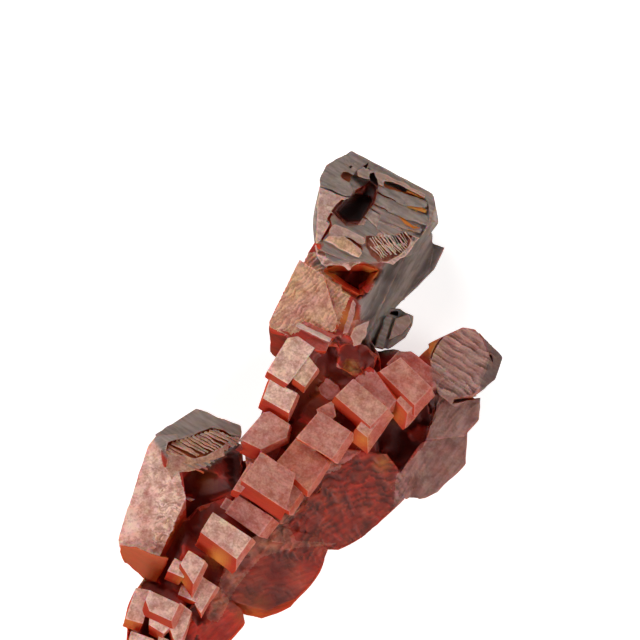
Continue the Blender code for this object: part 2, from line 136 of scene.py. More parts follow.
CROWN = Area(
    [(30.8, 37.6), (30.4, 45.8), (35.0, 50.0), (44.8, 45.2), (44.6, 41.0), (40.6, 38.0), (36.4, 37.4),
     (34.0, 36.6)], 0.8)
CROWN_HOLLOW = Area(
    [(33.4, 42.8), (34.4, 43.6), (35.4, 44.2), (36.6, 45.4), (37.3, 46.2), (37.7, 45.4), (37.6, 44.2),
     (37.0, 43.0), (36.2, 41.8), (35.2, 41.6), (34.0, 42.0)], 1.2)
TALL_SIDE = Area(
    [(45.6, 42.6), (46.4, 38.6), (43.4, 33.2), (42.8, 29.6), (38.6, 28.4), (35.8, 29.8), (35.0, 33.0),
     (37.0, 36.0), (39.0, 38.4), (42.0, 41.0)], 0.8)
RED_CREASE = Area(
    [(34.6, 30.2), (34.9, 32.0), (35.6, 34.2), (36.0, 33.4), (36.0, 32.0), (37.0, 31.8), (36.0, 30.6)], 0.4)
RED_BAND = Area([(29.4, 36.6), (29.8, 37.8), (31.4, 39.8), (32.3, 39.5), (31.6, 38.0), (30.9, 37.0)], 0.3)
FRONT_FLANK = Area([(34.9, 34.5), (35.5, 33.9), (34.4, 30.4), (33.3, 30.6)], 0.3)
CLUB_LID = Area(
    [(14.8, 20.8), (19.6, 24.8), (24.5, 22.4), (24.2, 19.6), (21.0, 17.2), (18.0, 16.9), (16.4, 18.6)], 0.6)
CLUB_FRONT = Area([(10.8, 8.2), (10.8, 11.2), (14.6, 21.0), (17.2, 19.6), (18.6, 14.2), (15.8, 7.4)], 0.5)
CLUB_LADDER = Area([(15.2, 8.6), (15.4, 12.0), (15.8, 15.0), (17.2, 16.4), (18.6, 14.2), (17.0, 9.6)], 0.8)
CLUB_HOLLOW = Area(
    [(17.0, 17.4), (20.0, 17.0), (24.6, 20.0), (24.6, 16.0), (21.0, 10.0), (17.4, 8.2), (17.8, 12.0)], 0.8)
CLUB_DARK = Area([(21.6, 18.2), (24.8, 20.4), (25.0, 15.6), (23.8, 12.6), (22.8, 14.6)], 1.2)
TALL_FRONT = Area(
    [(26.8, 31.4), (30.2, 38.6), (31.8, 38.8), (32.6, 36.6), (35.2, 34.9), (33.6, 30.8), (30.6, 31.2),
     (28.8, 30.4)], 0.5)
DIAMOND = Area(
    [(32.0, 36.9), (33.4, 37.6), (36.4, 37.8), (38.2, 37.0), (37.0, 35.0), (36.0, 34.0), (34.2, 35.0)], 0.3)
RIGHT_TOP = Area(
    [(43.0, 28.4), (44.4, 31.2), (46.4, 32.2), (48.6, 31.6), (49.6, 28.4), (48.2, 25.0), (46.6, 24.2),
     (43.8, 24.6), (43.2, 26.0)], 0.6)
RIGHT_TIP = Area([(47.5, 32.4), (52.2, 29.8), (51.0, 23.6), (48.0, 22.8), (47.9, 26.0), (48.8, 28.4)], 0.8)
RIGHT_LOW = Area(
    [(43.8, 26.0), (49.6, 25.0), (49.6, 20.6), (48.4, 16.6), (44.4, 12.6), (39.4, 13.0), (39.6, 16.4),
     (42.4, 19.4)], 1.0)
DARK_HOLLOW = Area(
    [(36.8, 19.6), (38.6, 22.6), (42.0, 25.6), (44.4, 27.0), (44.0, 23.4), (42.4, 19.4), (39.8, 18.0),
     (38.4, 18.2)], 1.2)
RED_WALL = Area(
    [(26.0, 15.0), (28.0, 19.0), (29.6, 24.8), (32.6, 29.4), (37.6, 29.8), (38.4, 26.8), (34.0, 24.0),
     (33.0, 22.6), (30.2, 20.4), (27.6, 16.4)], 1.0)
LOBE_HEARTS = Area(
    [(20.4, 3.0), (21.4, 6.4), (25.4, 11.4), (29.6, 16.0), (34.0, 18.6), (37.6, 18.4), (40.2, 16.0),
     (40.6, 13.6), (38.0, 10.8), (34.4, 8.6), (32.0, 8.2), (31.2, 5.4), (27.2, 2.6), (23.6, 3.0)], 1.6)
LOBE_UPPER = Area(
    [(27.4, 8.0), (28.4, 14.4), (33.6, 18.9), (38.0, 18.9), (41.4, 16.4), (42.0, 13.6), (38.4, 10.0),
     (34.0, 7.6)], 1.0)
LOBE_MIDDLE = Area([(21.0, 3.6), (24.6, 8.6), (28.6, 9.8), (33.4, 9.6), (32.4, 5.0), (27.0, 1.4)], 1.0)
LOBE_LOWER = Area([(17.6, -4.4), (19.0, 2.4), (22.0, 4.6), (25.4, 2.0), (22.6, -3.0)], 1.0)
SEAM = Area(
    [(20.4, 1.0), (21.4, 5.0), (24.6, 9.4), (28.6, 13.4), (31.0, 15.4), (31.4, 13.0), (28.6, 9.8),
     (24.2, 6.4), (22.2, 2.4)], 1.6)
GEM = Area([(33.2, 30.2), (35.4, 30.6), (37.8, 28.6), (37.4, 26.8), (34.8, 26.6), (33.0, 28.4)], 0.4)
SEAM_RIDGES = Area(
    [(20.6, 2.0), (21.6, 5.6), (25.0, 10.0), (28.4, 13.4), (30.4, 15.6), (31.0, 14.6), (28.8, 11.6),
     (29.6, 9.9), (33.6, 9.6), (33.6, 9.5), (29.4, 9.1), (26.0, 8.2), (23.6, 5.2), (21.8, 1.6)], 0.4)
FOOT = Area(
    [(12.0, -4.0), (12.0, 6.0), (17.6, 11.4), (20.4, 13.2), (22.0, 8.0), (20.0, 1.0), (19.0, -4.0)], 1.0)
# where the surface is divided more finely, and how finely
FINE_AREAS = [(CLUB_LADDER, 0.15), (RIGHT_TOP, 0.16), (TALL_FRONT, 0.17), (LOBE_UPPER, 0.24), (SEAM, 0.24),
              (LOBE_MIDDLE, 0.3), (LOBE_LOWER, 0.35), (RIGHT_LOW, 0.26), (CLUB_LID, 0.3), (CROWN, 0.34),
              (TALL_SIDE, 0.34), (CLUB_FRONT, 0.3)]


# --- how the surface rises and falls there, in millimetres ---
def saw(value):
    """A step that rises slowly and falls at once, from 0 to 1."""
    return value - math.floor(value)


def across(spot, turn):
    """How far a point lies to the left of a line through the plan's corner that runs in this direction."""
    angle = math.radians(turn)
    return spot.y * math.cos(angle) - spot.x * math.sin(angle)


def striped(spot, turn, pitch, bend, reach=0.6):
    """Growth steps that run in one direction, bend as they go and fade in and out, around a middle of 0."""
    fade = 0.7 + 0.9 * noise.noise(spot * 0.8)
    return fade * (saw(across(spot, turn) / pitch + bend * noise.noise(spot * reach)) - 0.5)


def facets(size, steep, sunk):
    """How a surface rises in flat faces of this size, which lean along the crystals' own directions."""
    def rise(spot):
        flat = Vector((spot.x, spot.y, 0.0)) / size
        seed = noise.voronoi(flat)[1][0]
        turn = math.radians(58.0 + 90.0 * int(4.0 * noise.cell(seed * 37.0)))
        away = (flat - seed) * size
        lean = steep * (away.x * math.cos(turn) + away.y * math.sin(turn))
        return lean + 0.3 * noise.cell(seed * 91.0) - sunk
    return rise


def grown(steps, waves=()):
    """How a surface rises in growth steps and waves.

    The steps have their height, direction, pitch, how much they bend and how quickly, and the waves their
    height and how many there are to a millimetre.
    """
    def rise(spot):
        height = sum(high * striped(spot, *step) for high, *step in steps)
        return height + sum(high * noise.noise(spot * pace) for high, pace in waves)
    return rise


right_top = grown([(0.24, -34.0, 0.8, 0.5, 0.7), (0.12, -31.0, 0.33, 0.4, 1.0)])
low_steps = grown([(0.1, 56.0, 0.9, 1.0), (0.06, 50.0, 0.4, 0.8)], [(0.1, 0.9)])
club_waves = grown([], [(0.05, 0.9), (0.03, 2.6)])
club_ladder = grown([(0.26, 4.0, 0.5, 1.8, 1.2)], [(0.12, 2.0)])
tall_front = grown([(0.2, 42.0, 0.42, 0.9, 1.0)], [(0.03, 1.2)])
side_steps = grown([(0.1, 60.0, 0.7, 0.7)], [(0.04, 1.1)])
lobe_middle = grown([(0.08, -8.0, 0.9, 1.4)], [(0.2, 0.45), (0.04, 2.0)])
seam = grown([(0.14, 42.0, 0.6, 1.0)], [(0.26, 1.1), (0.05, 2.6)])
lip_lines = grown([(0.1, -27.0, 0.34, 0.4)])
fibres = grown([(0.2, -52.0, 0.32, 0.8)], [(0.1, 3.0)])
lamella = grown([(0.08, -22.0, 0.5, 0.3)], [(0.02, 1.5)])
deep_facets = facets(2.6, 0.3, 0.25)
diamond_floor = facets(1.6, 0.55, 0.3)
gem_facets = facets(1.3, 0.5, 0.2)
crumpled = facets(0.9, 0.25, 0.06)


def right_low(spot):
    """Slanted steps with one thin, wandering crack along them."""
    from_crack = abs(across(spot, 52.0) + 0.6 * noise.noise(spot * 0.7) + 20.3)
    return low_steps(spot) - 0.3 * max(0.0, 1.0 - from_crack / 0.16)


def club_front(spot):
    """A low oval swelling."""
    oval = max(0.0, 1.0 - ((spot.x - 13.2) / 1.9) ** 2 - ((spot.y - 12.0) / 2.9) ** 2)
    return 0.06 * oval + club_waves(spot)


def tall_side(spot):
    """Flutes along the crystal, with fine steps over them."""
    return 0.1 * math.sin(across(spot, 62.0) * 2.6 + 1.4 * noise.noise(spot * 0.35)) + side_steps(spot)


def lobe_upper(spot):
    """Wrinkles that fan out from one point, and arcs around it in their outer part."""
    fan_x, fan_y = spot.x - 37.1, spot.y - 7.8
    out = math.hypot(fan_x, fan_y)
    arcs = saw(out / 0.75 + 1.0 * noise.noise(spot * 0.8)) - 0.5
    wrinkles = noise.noise(Vector((math.atan2(fan_y, fan_x) * 9.0, out * 0.7, 0.0)))
    outer = max(0.0, min(1.0, (out - 3.0) / 3.0))
    return 0.16 * arcs * outer + 0.18 * wrinkles + 0.05 * noise.noise(spot * 2.6)


# an area, how it rises, and the height above the table up to which it does
RELIEF = [(RIGHT_TOP, right_top, 20.0), (RIGHT_LOW, right_low, 9.0), (CLUB_FRONT, club_front, 20.0),
          (CLUB_LADDER, club_ladder, 20.0), (TALL_FRONT, tall_front, 20.0), (TALL_SIDE, tall_side, 20.0),
          (LOBE_UPPER, lobe_upper, 8.4), (LOBE_MIDDLE, lobe_middle, 8.4), (LOBE_LOWER, lobe_middle, 8.0),
          (SEAM, seam, 8.0), (RED_WALL, deep_facets, 9.2), (DARK_HOLLOW, deep_facets, 7.0),
          (FOOT, deep_facets, 7.4), (CLUB_HOLLOW, deep_facets, 7.4), (DIAMOND, diamond_floor, 20.0),
          (GEM, gem_facets, 20.0)]

# --- where the surface is grey, dark, brown, amber, frosted or tan, with painted shade, glow and sheen ---
# an area, how strongly it is so, and the height above the table up to which it is
TIPS = [(CROWN, 1.0, 20.0), (TALL_SIDE, 1.0, 20.0), (CLUB_LID, 1.0, 20.0), (RIGHT_TIP, 0.9, 20.0),
        (RIGHT_TOP, 0.45, 20.0), (RIGHT_LOW, 0.35, 20.0)]
NO_TIPS = [CROWN_HOLLOW, DIAMOND, RED_CREASE, FRONT_FLANK, RED_BAND]
# painted shade in the hollows, and a darker colour on the tall crystal's side, the right crystal, the gem
# and the lobes
SHADE_AND_DARK_AREAS = [(CLUB_DARK, 0.6, 7.6), (DARK_HOLLOW, 0.4, 7.6), (DIAMOND, 0.1, 20.0), (TALL_SIDE, 0.33, 20.0),
         (RIGHT_TIP, 0.5, 20.0), (RIGHT_TOP, 0.14, 20.0), (RIGHT_LOW, 0.24, 20.0), (GEM, 0.15, 20.0),
         (LOBE_UPPER, 0.15, 8.4), (LOBE_MIDDLE, 0.08, 8.4)]
BROWNS = [(LOBE_HEARTS, 0.8, 8.2), (SEAM, 0.9, 8.2), (RIGHT_LOW, 0.6, 20.0)]
# an area, and the height up to which nothing in it is frosted or given painted sheen
FLOORS = [(RED_WALL, 9.2), (DARK_HOLLOW, 7.0), (FOOT, 7.4), (CLUB_HOLLOW, 7.4), (GEM, 20.0)]
# the front of a crystal, how much frosted skin and painted sheen it has, and how tan
FROST_AND_SHEEN_FRONTS = [(TALL_FRONT, 0.7, 1.0), (CLUB_FRONT, 0.85, 0.1), (RIGHT_TOP, 0.45, 0.0), (RIGHT_LOW, 0.25, 0.0),
          (SEAM_RIDGES, 0.18, 1.0)]
# the middle of each amber place, with amber colour and painted glow of thin crystal, how wide it is and how
# strong
AMBER_AND_GLOW_PLACES = [((21.8, 8.2), 1.6, 1.0), ((18.2, 5.8), 1.2, 0.6), ((13.4, 6.6), 2.2, 0.6),
          ((17.0, 11.0), 1.8, 0.6), ((25.2, 3.0), 2.4, 0.35), ((13.0, 2.0), 1.4, 0.6),
          ((43.3, 29.2), 1.5, 0.9), ((36.2, 20.1), 1.2, 0.7), ((34.6, 32.2), 1.6, 0.9),
          ((35.1, 27.2), 1.0, 1.0), ((16.0, -1.0), 2.0, 0.6), ((39.6, 22.4), 1.2, 0.5),
          ((20.2, 15.9), 1.8, 0.35), ((33.2, 36.8), 1.2, 0.6), ((37.0, 36.6), 1.2, 0.8),
          ((38.2, 17.6), 1.2, 0.8), ((31.8, 24.8), 3.2, 0.2), ((29.4, 20.2), 2.8, 0.2)]
# the middle of each small block's face: how much frosted skin and painted sheen it has, and how tan
BLOCK_FACES = [((29.0, 28.6), 1.0, 0.2), ((30.6, 26.8), 0.9, 0.6), ((27.8, 24.4), 1.0, 0.1),
               ((26.0, 20.6), 0.48, 0.1), ((32.4, 20.6), 0.36, 0.2), ((30.4, 17.8), 0.35, 0.9),
               ((36.2, 23.6), 0.5, 0.5), ((37.2, 26.2), 0.3, 0.0), ((40.4, 26.2), 0.38, 0.4),
               ((41.8, 27.4), 0.2, 0.0), ((26.9, 15.8), 0.38, 0.4), ((24.8, 12.6), 0.38, 0.0),
               ((22.6, 10.6), 0.7, 0.1), ((19.2, 7.4), 0.75, 0.0), ((16.4, 3.6), 0.75, 0.0),
               ((31.7, 30.9), 0.15, 0.0), ((30.6, 30.2), 0.1, 0.0), ((35.6, 28.4), 0.0, 0.0),
               ((32.6, 22.8), 0.3, 0.0)]
# the heading, in degrees, of the growth lines in each area, and everywhere else
HEADINGS = [(TALL_SIDE, 61.0), (TALL_FRONT, 42.0), (RIGHT_LOW, 54.0), (CLUB_FRONT, 20.0), (SEAM, 38.0),
            (LOBE_UPPER, 30.0), (LOBE_MIDDLE, 18.0), (LOBE_LOWER, 40.0)]
PLAIN_HEADING = -31.0
WANDER = 1.8  # how far the border of a grey crystal end wanders on its upright faces
WANDER_PACES = (0.25, 0.45, 0.8)  # and how quickly, in turns for each millimetre
PAINTED_SIDE_SHEEN = 0.25  # a painted sheen: how much pale frosted colour the right-hand side faces of the small blocks get
SIDE_HEADINGS = (-75.0, 15.0)  # between these headings a side face is a right-hand one
SIDE_LOWEST = 8.0  # and above this height
ROWS_END = 32.0  # the rows of small blocks end at this line of the plan
LOW_WALL_HEIGHT = 9.0  # upright faces turn browner and duller from this height down to the back
LOW_WALL_BROWN = 0.9
LOW_WALL_PALENESS = 0.3
LIT_LOSS = 0.85  # how much of the painted glow from within is lost on a face that looks straight up
LIT_AT_BACK = 0.3  # how much of it is left at the back, so the lower faces get painted shade
LIT_HEIGHT = 8.0  # over this height it would grow by 1

# --- plates that grew on the faces, notches between them, and ribs and needles in the notches ---
# a sloping face: a point on it, the direction that it falls toward and by how much, in degrees
CROWN_FACE = (Vector((36.18, 42.71, 11.6)), 63.0, 20.0)
LIP_FACE = (Vector((33.4, 38.2, 12.3)), 250.0, 10.0)
SHAFT_FACE = (Vector((34.4, 35.55, 10.7)), -60.0, 9.0)
SPUR_FACE = (Vector((39.2, 31.26, 7.0)), -10.0, 14.0)
LID_FACE = (Vector((19.75, 19.33, 9.0)), 78.0, 30.0)
RIGHT_FACE = (Vector((46.1, 28.0, 8.8)), 40.0, 8.0)
WALL_FACE = (Vector((32.8, 25.2, 8.6)), 215.0, 14.0)
LEDGE_FACE = (Vector((31.6, 31.0, 11.8)), 57.0, 5.0)
SHAFT_END = (Vector((28.0, 30.9, 10.9)), 240.0, 60.0)
END_FACE = (Vector((13.4, 8.4, 7.6)), 237.0, 42.0)
GAP_FACE = (Vector((24.4, 16.6, 4.6)), 200.0, 10.0)
CHIP_FACE = (Vector((19.0, 14.1, 6.8)), 250.0, 12.0)

# a plate or notch: its face, how far above it its top or floor lies, how thick it is, its marks, its corners
# and how its surface rises
Plate = namedtuple("Plate", "face lift thick marks corners rise", defaults=[None])
PLATES = [
    # the tall crystal's end: its rim, the slats below it, and the shelf and tongues beside its hollow
    Plate(CROWN_FACE, 0.62, 1.2, {"tip": 1.0},
        [(32.0, 45.3), (31.95, 46.0), (32.6, 47.4), (34.0, 48.2), (35.15, 48.85), (39.0, 46.8), (43.2, 44.6),
         (43.5, 43.6), (43.3, 42.6), (42.9, 41.4), (42.1, 40.4), (42.75, 41.6), (42.95, 42.2), (42.9, 43.2),
         (42.7, 43.8), (42.5, 44.1), (40.7, 45.2), (38.6, 45.95), (37.6, 46.2), (37.1, 46.75), (36.9, 47.2),
         (35.7, 46.9), (35.0, 46.2), (35.0, 45.5), (35.3, 44.9), (35.1, 44.3), (34.5, 44.35),
         (33.3, 44.9)], lamella),
    Plate(CROWN_FACE, 0.9, 1.2, {"tip": 0.85, "frost_and_painted_sheen": 0.5},
        [(35.7, 46.9), (36.4, 47.25), (37.2, 46.75), (37.0, 46.0), (35.7, 46.35)]),
    Plate(CROWN_FACE, 0.84, 1.0, {"tip": 0.7, "frost_and_painted_sheen": 0.6, "tan": 0.8},
        [(37.5, 46.6), (38.0, 46.7), (39.3, 46.15), (41.1, 45.25), (42.5, 44.5), (42.4, 44.2), (40.6, 45.15),
         (39.2, 45.75), (38.4, 45.85), (38.3, 45.3), (37.7, 45.6)]),
    Plate(CROWN_FACE, 0.6, 0.9, {"tip": 1.0},
        [(37.6, 45.4), (38.3, 45.25), (40.0, 44.75), (42.5, 43.95), (42.75, 43.6), (42.65, 43.2),
         (41.0, 43.4), (40.5, 43.35), (39.5, 43.8), (37.6, 44.9)], lamella),
    Plate(CROWN_FACE, 0.48, 0.9, {"tip": 1.0},
        [(37.5, 44.95), (39.5, 43.75), (40.5, 43.3), (41.2, 42.9), (42.6, 42.4), (42.9, 42.1), (42.7, 41.3),
         (41.3, 41.9), (40.4, 42.05), (38.6, 42.9), (37.2, 43.7)], lamella),
    Plate(CROWN_FACE, 0.37, 0.9, {"tip": 0.9},
        [(37.15, 43.6), (38.6, 42.85), (40.4, 42.0), (41.3, 41.4), (42.2, 41.1), (42.0, 40.6), (40.6, 41.0),
         (40.0, 41.15), (38.8, 42.1), (37.0, 43.2)], lamella),
    # the pale lilac strip, whose paleness is a painted sheen
    Plate(CROWN_FACE, 0.2, 0.8, {"tip": 0.75, "frost_and_painted_sheen": 0.8},
        [(36.8, 43.1), (38.8, 42.05), (40.0, 41.1), (40.1, 40.9), (38.6, 40.3), (37.5, 41.4),
         (36.4, 42.3)], lamella),
    Plate(CROWN_FACE, -0.02, 0.8, {"tip": 0.2, "frost_and_painted_sheen": 0.5},
        [(36.3, 42.2), (37.45, 41.3), (38.6, 40.2), (38.0, 40.1), (36.6, 40.4), (35.8, 41.0), (35.7, 41.4)]),
    Plate(CROWN_FACE, 0.3, 1.0, {"tip": 0.35, "frost_and_painted_sheen": 0.85},
        [(31.9, 45.2), (34.4, 44.25), (35.05, 44.2), (34.7, 44.1), (34.1, 43.7), (33.6, 43.4), (33.1, 42.8),
         (33.3, 42.6), (32.9, 42.3), (32.6, 41.8), (33.0, 41.6), (32.9, 41.1), (32.4, 40.2), (31.6, 39.6),
         (31.6, 41.0), (31.75, 43.0), (31.85, 44.5)], lamella),
    Plate(CROWN_FACE, 0.5, 1.0, {"tip": 0.5, "frost_and_painted_sheen": 0.8},
        [(32.9, 41.2), (33.5, 41.5), (34.9, 40.95), (36.4, 40.2), (36.5, 39.7), (36.2, 39.45), (34.6, 40.2),
         (32.9, 40.3)]),
    Plate(CROWN_FACE, 0.72, 1.0, {"tip": 0.1, "frost_and_painted_sheen": 0.85, "tan": 0.9},
        [(32.9, 40.3), (34.5, 40.35), (35.9, 39.25), (36.15, 38.7), (35.85, 38.2), (35.5, 38.25),
         (34.0, 39.05), (32.4, 39.95)]),
    # the lip's pale facets, with a painted sheen
    Plate(LIP_FACE, 0.0, 1.4, {"tip": 0.15, "frost_and_painted_sheen": 0.9},
        [(31.5, 39.4), (32.2, 39.9), (34.0, 38.95), (35.7, 38.05), (36.0, 37.8), (35.3, 37.4), (34.8, 37.05),
         (34.3, 37.4), (33.4, 37.55), (32.5, 37.35), (32.0, 37.8), (31.8, 38.2)], crumpled),
    Plate(CROWN_FACE, 0.16, 0.8, {"tip": 0.6, "frost_and_painted_sheen": 0.8},
        [(37.8, 37.9), (39.2, 37.5), (40.7, 38.6), (41.9, 40.2), (41.1, 40.4), (39.8, 39.0)], fibres),
    # the flank of the tall crystal's front, and the leaves beside it
    Plate(SHAFT_FACE, 0.3, 1.0, {"tip": 0.3, "frost_and_painted_sheen": 0.4},
        [(35.25, 34.0), (35.6, 33.6), (35.3, 32.1), (34.8, 30.7), (34.3, 30.7)]),
    Plate(SHAFT_FACE, 0.5, 1.2, {"tip": 0.4, "frost_and_painted_sheen": 0.6},
        [(35.0, 30.4), (35.4, 31.2), (36.9, 31.9), (36.5, 30.3), (36.0, 29.6), (35.4, 29.4)]),
    # the spur's beams
    Plate(SPUR_FACE, 0.5, 1.2, {"tip": 1.0},
        [(37.4, 29.3), (38.6, 32.4), (39.2, 32.2), (38.3, 29.1)], lamella),
    Plate(SPUR_FACE, 0.3, 1.2, {"tip": 0.7, "frost_and_painted_sheen": 0.5},
        [(38.9, 30.0), (39.6, 32.2), (40.9, 32.5), (41.2, 31.8), (40.2, 30.6)]),
    # the strip along the ledge above the left row, and the patch on the red wall
    Plate(LEDGE_FACE, 0.0, 0.8, {"tip": 0.5, "frost_and_painted_sheen": 0.9},
        [(29.6, 31.35), (29.9, 31.7), (33.2, 30.15), (32.9, 29.8)]),
    Plate(WALL_FACE, 0.0, 1.6, {"frost_and_painted_sheen": 0.3},
        [(31.6, 24.9), (32.6, 26.2), (33.8, 25.5), (34.2, 24.4), (33.0, 23.9)]),
    # the tall crystal's lower end, and the left crystal's
    Plate(SHAFT_END, 0.0, 5.0, {"brown": 1.0, "deep": 0.1},
        [(26.95, 31.35), (27.05, 28.8), (27.5, 28.3), (28.3, 28.9), (29.2, 30.4), (28.9, 30.65)]),
    Plate(END_FACE, 0.0, 3.6, {"amber_and_painted_glow": 0.25},
        [(11.95, 9.4), (12.2, 8.1), (13.5, 6.8), (14.4, 6.0), (15.6, 5.7), (16.9, 8.2), (15.7, 8.4),
         (13.6, 9.2)]),
    # the left crystal's lid
    Plate(LID_FACE, 0.3, 0.9, {"tip": 1.0},
        [(15.5, 20.5), (15.7, 20.7), (19.6, 23.15), (24.0, 21.35), (24.05, 20.3), (23.7, 20.4), (23.0, 20.6),
         (22.3, 21.0), (21.2, 21.3), (20.2, 20.95), (19.45, 20.6), (17.9, 20.1), (16.8, 19.9),
         (16.0, 20.15)]),
    # a pale chip of crystal in its hollow, a painted glint, and the walls behind two narrow gaps, darkened
    # with painted shade
    Plate(CHIP_FACE, 0.0, 1.2, {"frost_and_painted_sheen": 1.0},
        [(18.5, 14.3), (19.4, 14.0), (19.05, 13.85)]),
    Plate(GAP_FACE, 0.0, 3.2, {"deep": 0.6},
        [(23.4, 17.6), (24.4, 17.7), (25.4, 17.2), (25.4, 14.6), (24.6, 13.4), (23.0, 14.0), (22.8, 16.0)]),
]
NOTCHES = [
    # the hollow's mouth, the crevice above it and three pits, darkened with painted shade
    Plate(CROWN_FACE, -1.4, 4.0, {"deep": 0.6, "amber_and_painted_glow": 0.1},
        [(33.15, 42.8), (33.6, 43.5), (34.1, 44.0), (34.6, 43.9), (35.2, 44.3), (35.6, 45.0), (36.2, 45.3),
         (37.0, 45.9), (37.6, 45.4), (37.7, 44.6), (37.4, 43.65), (36.9, 43.05), (36.45, 42.35),
         (35.75, 41.45), (34.8, 41.7), (33.8, 42.2)], crumpled),
    Plate(CROWN_FACE, -0.8, 4.0, {"deep": 1.0},
        [(36.9, 46.6), (37.3, 46.7), (37.7, 46.0), (37.8, 45.0), (37.4, 44.8), (37.0, 45.8)]),
    Plate(CROWN_FACE, 0.1, 4.0, {"deep": 1.0},
        [(34.9, 47.3), (35.05, 47.35), (35.15, 47.5), (35.2, 47.32), (35.4, 47.3), (35.2, 47.17),
         (35.1, 47.0), (35.0, 47.15)]),
    Plate(CROWN_FACE, 0.1, 4.0, {"deep": 1.0},
        [(36.35, 47.4), (36.55, 47.45), (36.8, 47.7), (36.75, 47.35), (36.65, 47.1), (36.55, 47.2)]),
    Plate(CROWN_FACE, -0.2, 4.0, {"deep": 0.6, "amber_and_painted_glow": 0.4},
        [(34.0, 46.4), (34.3, 46.7), (34.7, 46.75), (35.2, 46.5), (35.7, 46.35), (36.0, 46.2), (35.8, 46.0),
         (35.1, 46.15), (34.9, 45.75), (34.6, 45.9), (34.15, 46.15)]),
    # the slot and the notches at the slats' ends, and two thin lines between the slats; the slot and the
    # lines are darkened with painted shade
    Plate(CROWN_FACE, -0.3, 4.0, {"deep": 0.3, "amber_and_painted_glow": 0.4},
        [(38.4, 45.77), (39.3, 45.6), (40.7, 45.05), (42.4, 44.14), (42.45, 44.0), (40.7, 44.5),
         (38.4, 45.3)]),
    Plate(CROWN_FACE, 0.3, 4.0, {"amber_and_painted_glow": 0.9},
        [(40.6, 43.25), (41.0, 43.35), (42.55, 43.15), (42.75, 42.45), (41.6, 42.75)]),
    Plate(CROWN_FACE, 0.12, 4.0, {"amber_and_painted_glow": 0.9},
        [(39.7, 42.4), (40.5, 42.05), (41.35, 41.4), (42.0, 41.2), (41.3, 41.1), (40.4, 41.6)]),
    Plate(CROWN_FACE, 0.05, 4.0, {"deep": 0.1, "amber_and_painted_glow": 0.8},
        [(40.0, 41.1), (41.0, 40.9), (42.1, 40.45), (40.8, 40.6)]),
    Plate(CROWN_FACE, 0.15, 4.0, {"deep": 0.5},
        [(37.4, 44.95), (39.5, 43.86), (39.5, 43.76), (37.4, 44.75)]),
    Plate(CROWN_FACE, 0.15, 4.0, {"deep": 0.5},
        [(37.2, 43.75), (38.7, 42.95), (38.7, 42.85), (37.2, 43.6)]),
    # the cracks beside and between the tongues, darkened with painted shade, and the bed of fibres
    Plate(CROWN_FACE, -0.3, 4.0, {"deep": 0.2, "amber_and_painted_glow": 0.1},
        [(33.1, 42.7), (32.7, 42.1), (33.0, 41.6), (32.6, 40.8), (32.1, 40.0), (32.3, 39.9), (32.8, 40.6),
         (33.2, 41.4), (33.0, 42.0), (33.3, 42.6)]),
    Plate(CROWN_FACE, -0.3, 4.0, {"deep": 0.3, "amber_and_painted_glow": 0.2},
        [(34.3, 40.4), (35.0, 40.15), (36.15, 39.35), (36.3, 38.8), (35.9, 39.2)]),
    Plate(CROWN_FACE, -0.45, 4.0, {"amber_and_painted_glow": 0.2, "deep": 0.4, "frost_and_painted_sheen": 0.2},
        [(36.5, 40.3), (37.5, 40.35), (39.0, 40.2), (40.2, 40.75), (41.2, 40.4), (40.8, 39.3), (39.8, 38.4),
         (38.6, 37.8), (37.8, 37.7), (37.1, 38.4), (36.6, 39.3)], fibres),
    # the hopper in the left crystal's lid, darkened with painted shade
    Plate(LID_FACE, -0.6, 4.0, {"deep": 0.35, "amber_and_painted_glow": 0.3},
        [(16.8, 19.85), (17.9, 20.05), (19.5, 20.55), (20.2, 20.9), (21.2, 21.25), (22.3, 20.95),
         (23.0, 20.55), (23.7, 20.3), (23.8, 19.9), (23.2, 19.3), (22.5, 18.5), (20.5, 17.8), (19.0, 17.6),
         (17.2, 17.8), (16.6, 18.8)]),
    # the crack beside the right crystal's lit flank, and the slit in its end, both darkened with painted
    # shade
    Plate(RIGHT_FACE, -0.4, 4.0, {"deep": 0.7},
        [(44.3, 30.4), (44.45, 30.4), (43.6, 29.2), (43.0, 27.9), (42.9, 28.0), (43.5, 29.4)]),
    Plate(RIGHT_FACE, -0.9, 4.0, {"deep": 0.9},
        [(48.9, 28.7), (49.2, 28.4), (49.35, 27.6), (49.1, 27.9)]),
]
LIP = [
    Plate(LID_FACE, -0.08, 0.8, {"tip": 0.8, "frost_and_painted_sheen": 0.9},
        [(16.4, 18.8), (16.8, 18.9), (18.0, 18.5), (19.5, 18.2), (20.6, 18.4), (21.6, 19.0), (22.6, 19.6),
         (23.5, 20.2), (24.0, 20.6), (24.0, 20.2), (23.7, 19.8), (23.3, 19.2), (23.0, 19.6), (22.8, 18.9),
         (22.4, 19.0), (22.4, 18.4), (21.4, 18.0), (20.5, 17.3), (19.5, 17.0), (18.9, 16.9), (17.8, 16.9),
         (17.2, 16.1), (16.8, 17.0), (16.3, 17.9)], lip_lines),
    Plate(CROWN_FACE, 0.45, 1.4, {"amber_and_painted_glow": 0.9},
        [(40.7, 45.0), (42.4, 44.2), (42.4, 44.05), (40.6, 44.75)]),
]
RIB_TAPER = 0.5
RAGGED_EDGE = 0.6  # the longest straight edge of a plate
RAGGED = 0.12  # how far its outline wanders
RAGGED_PACE = 1.7  # and how quickly, in turns for each millimetre
RIB_THICK = 0.9
# how much the ribs of a row differ, in length, direction, width and height
RIB_CHANGES = (0.25, 10.0, 0.4, 0.25)
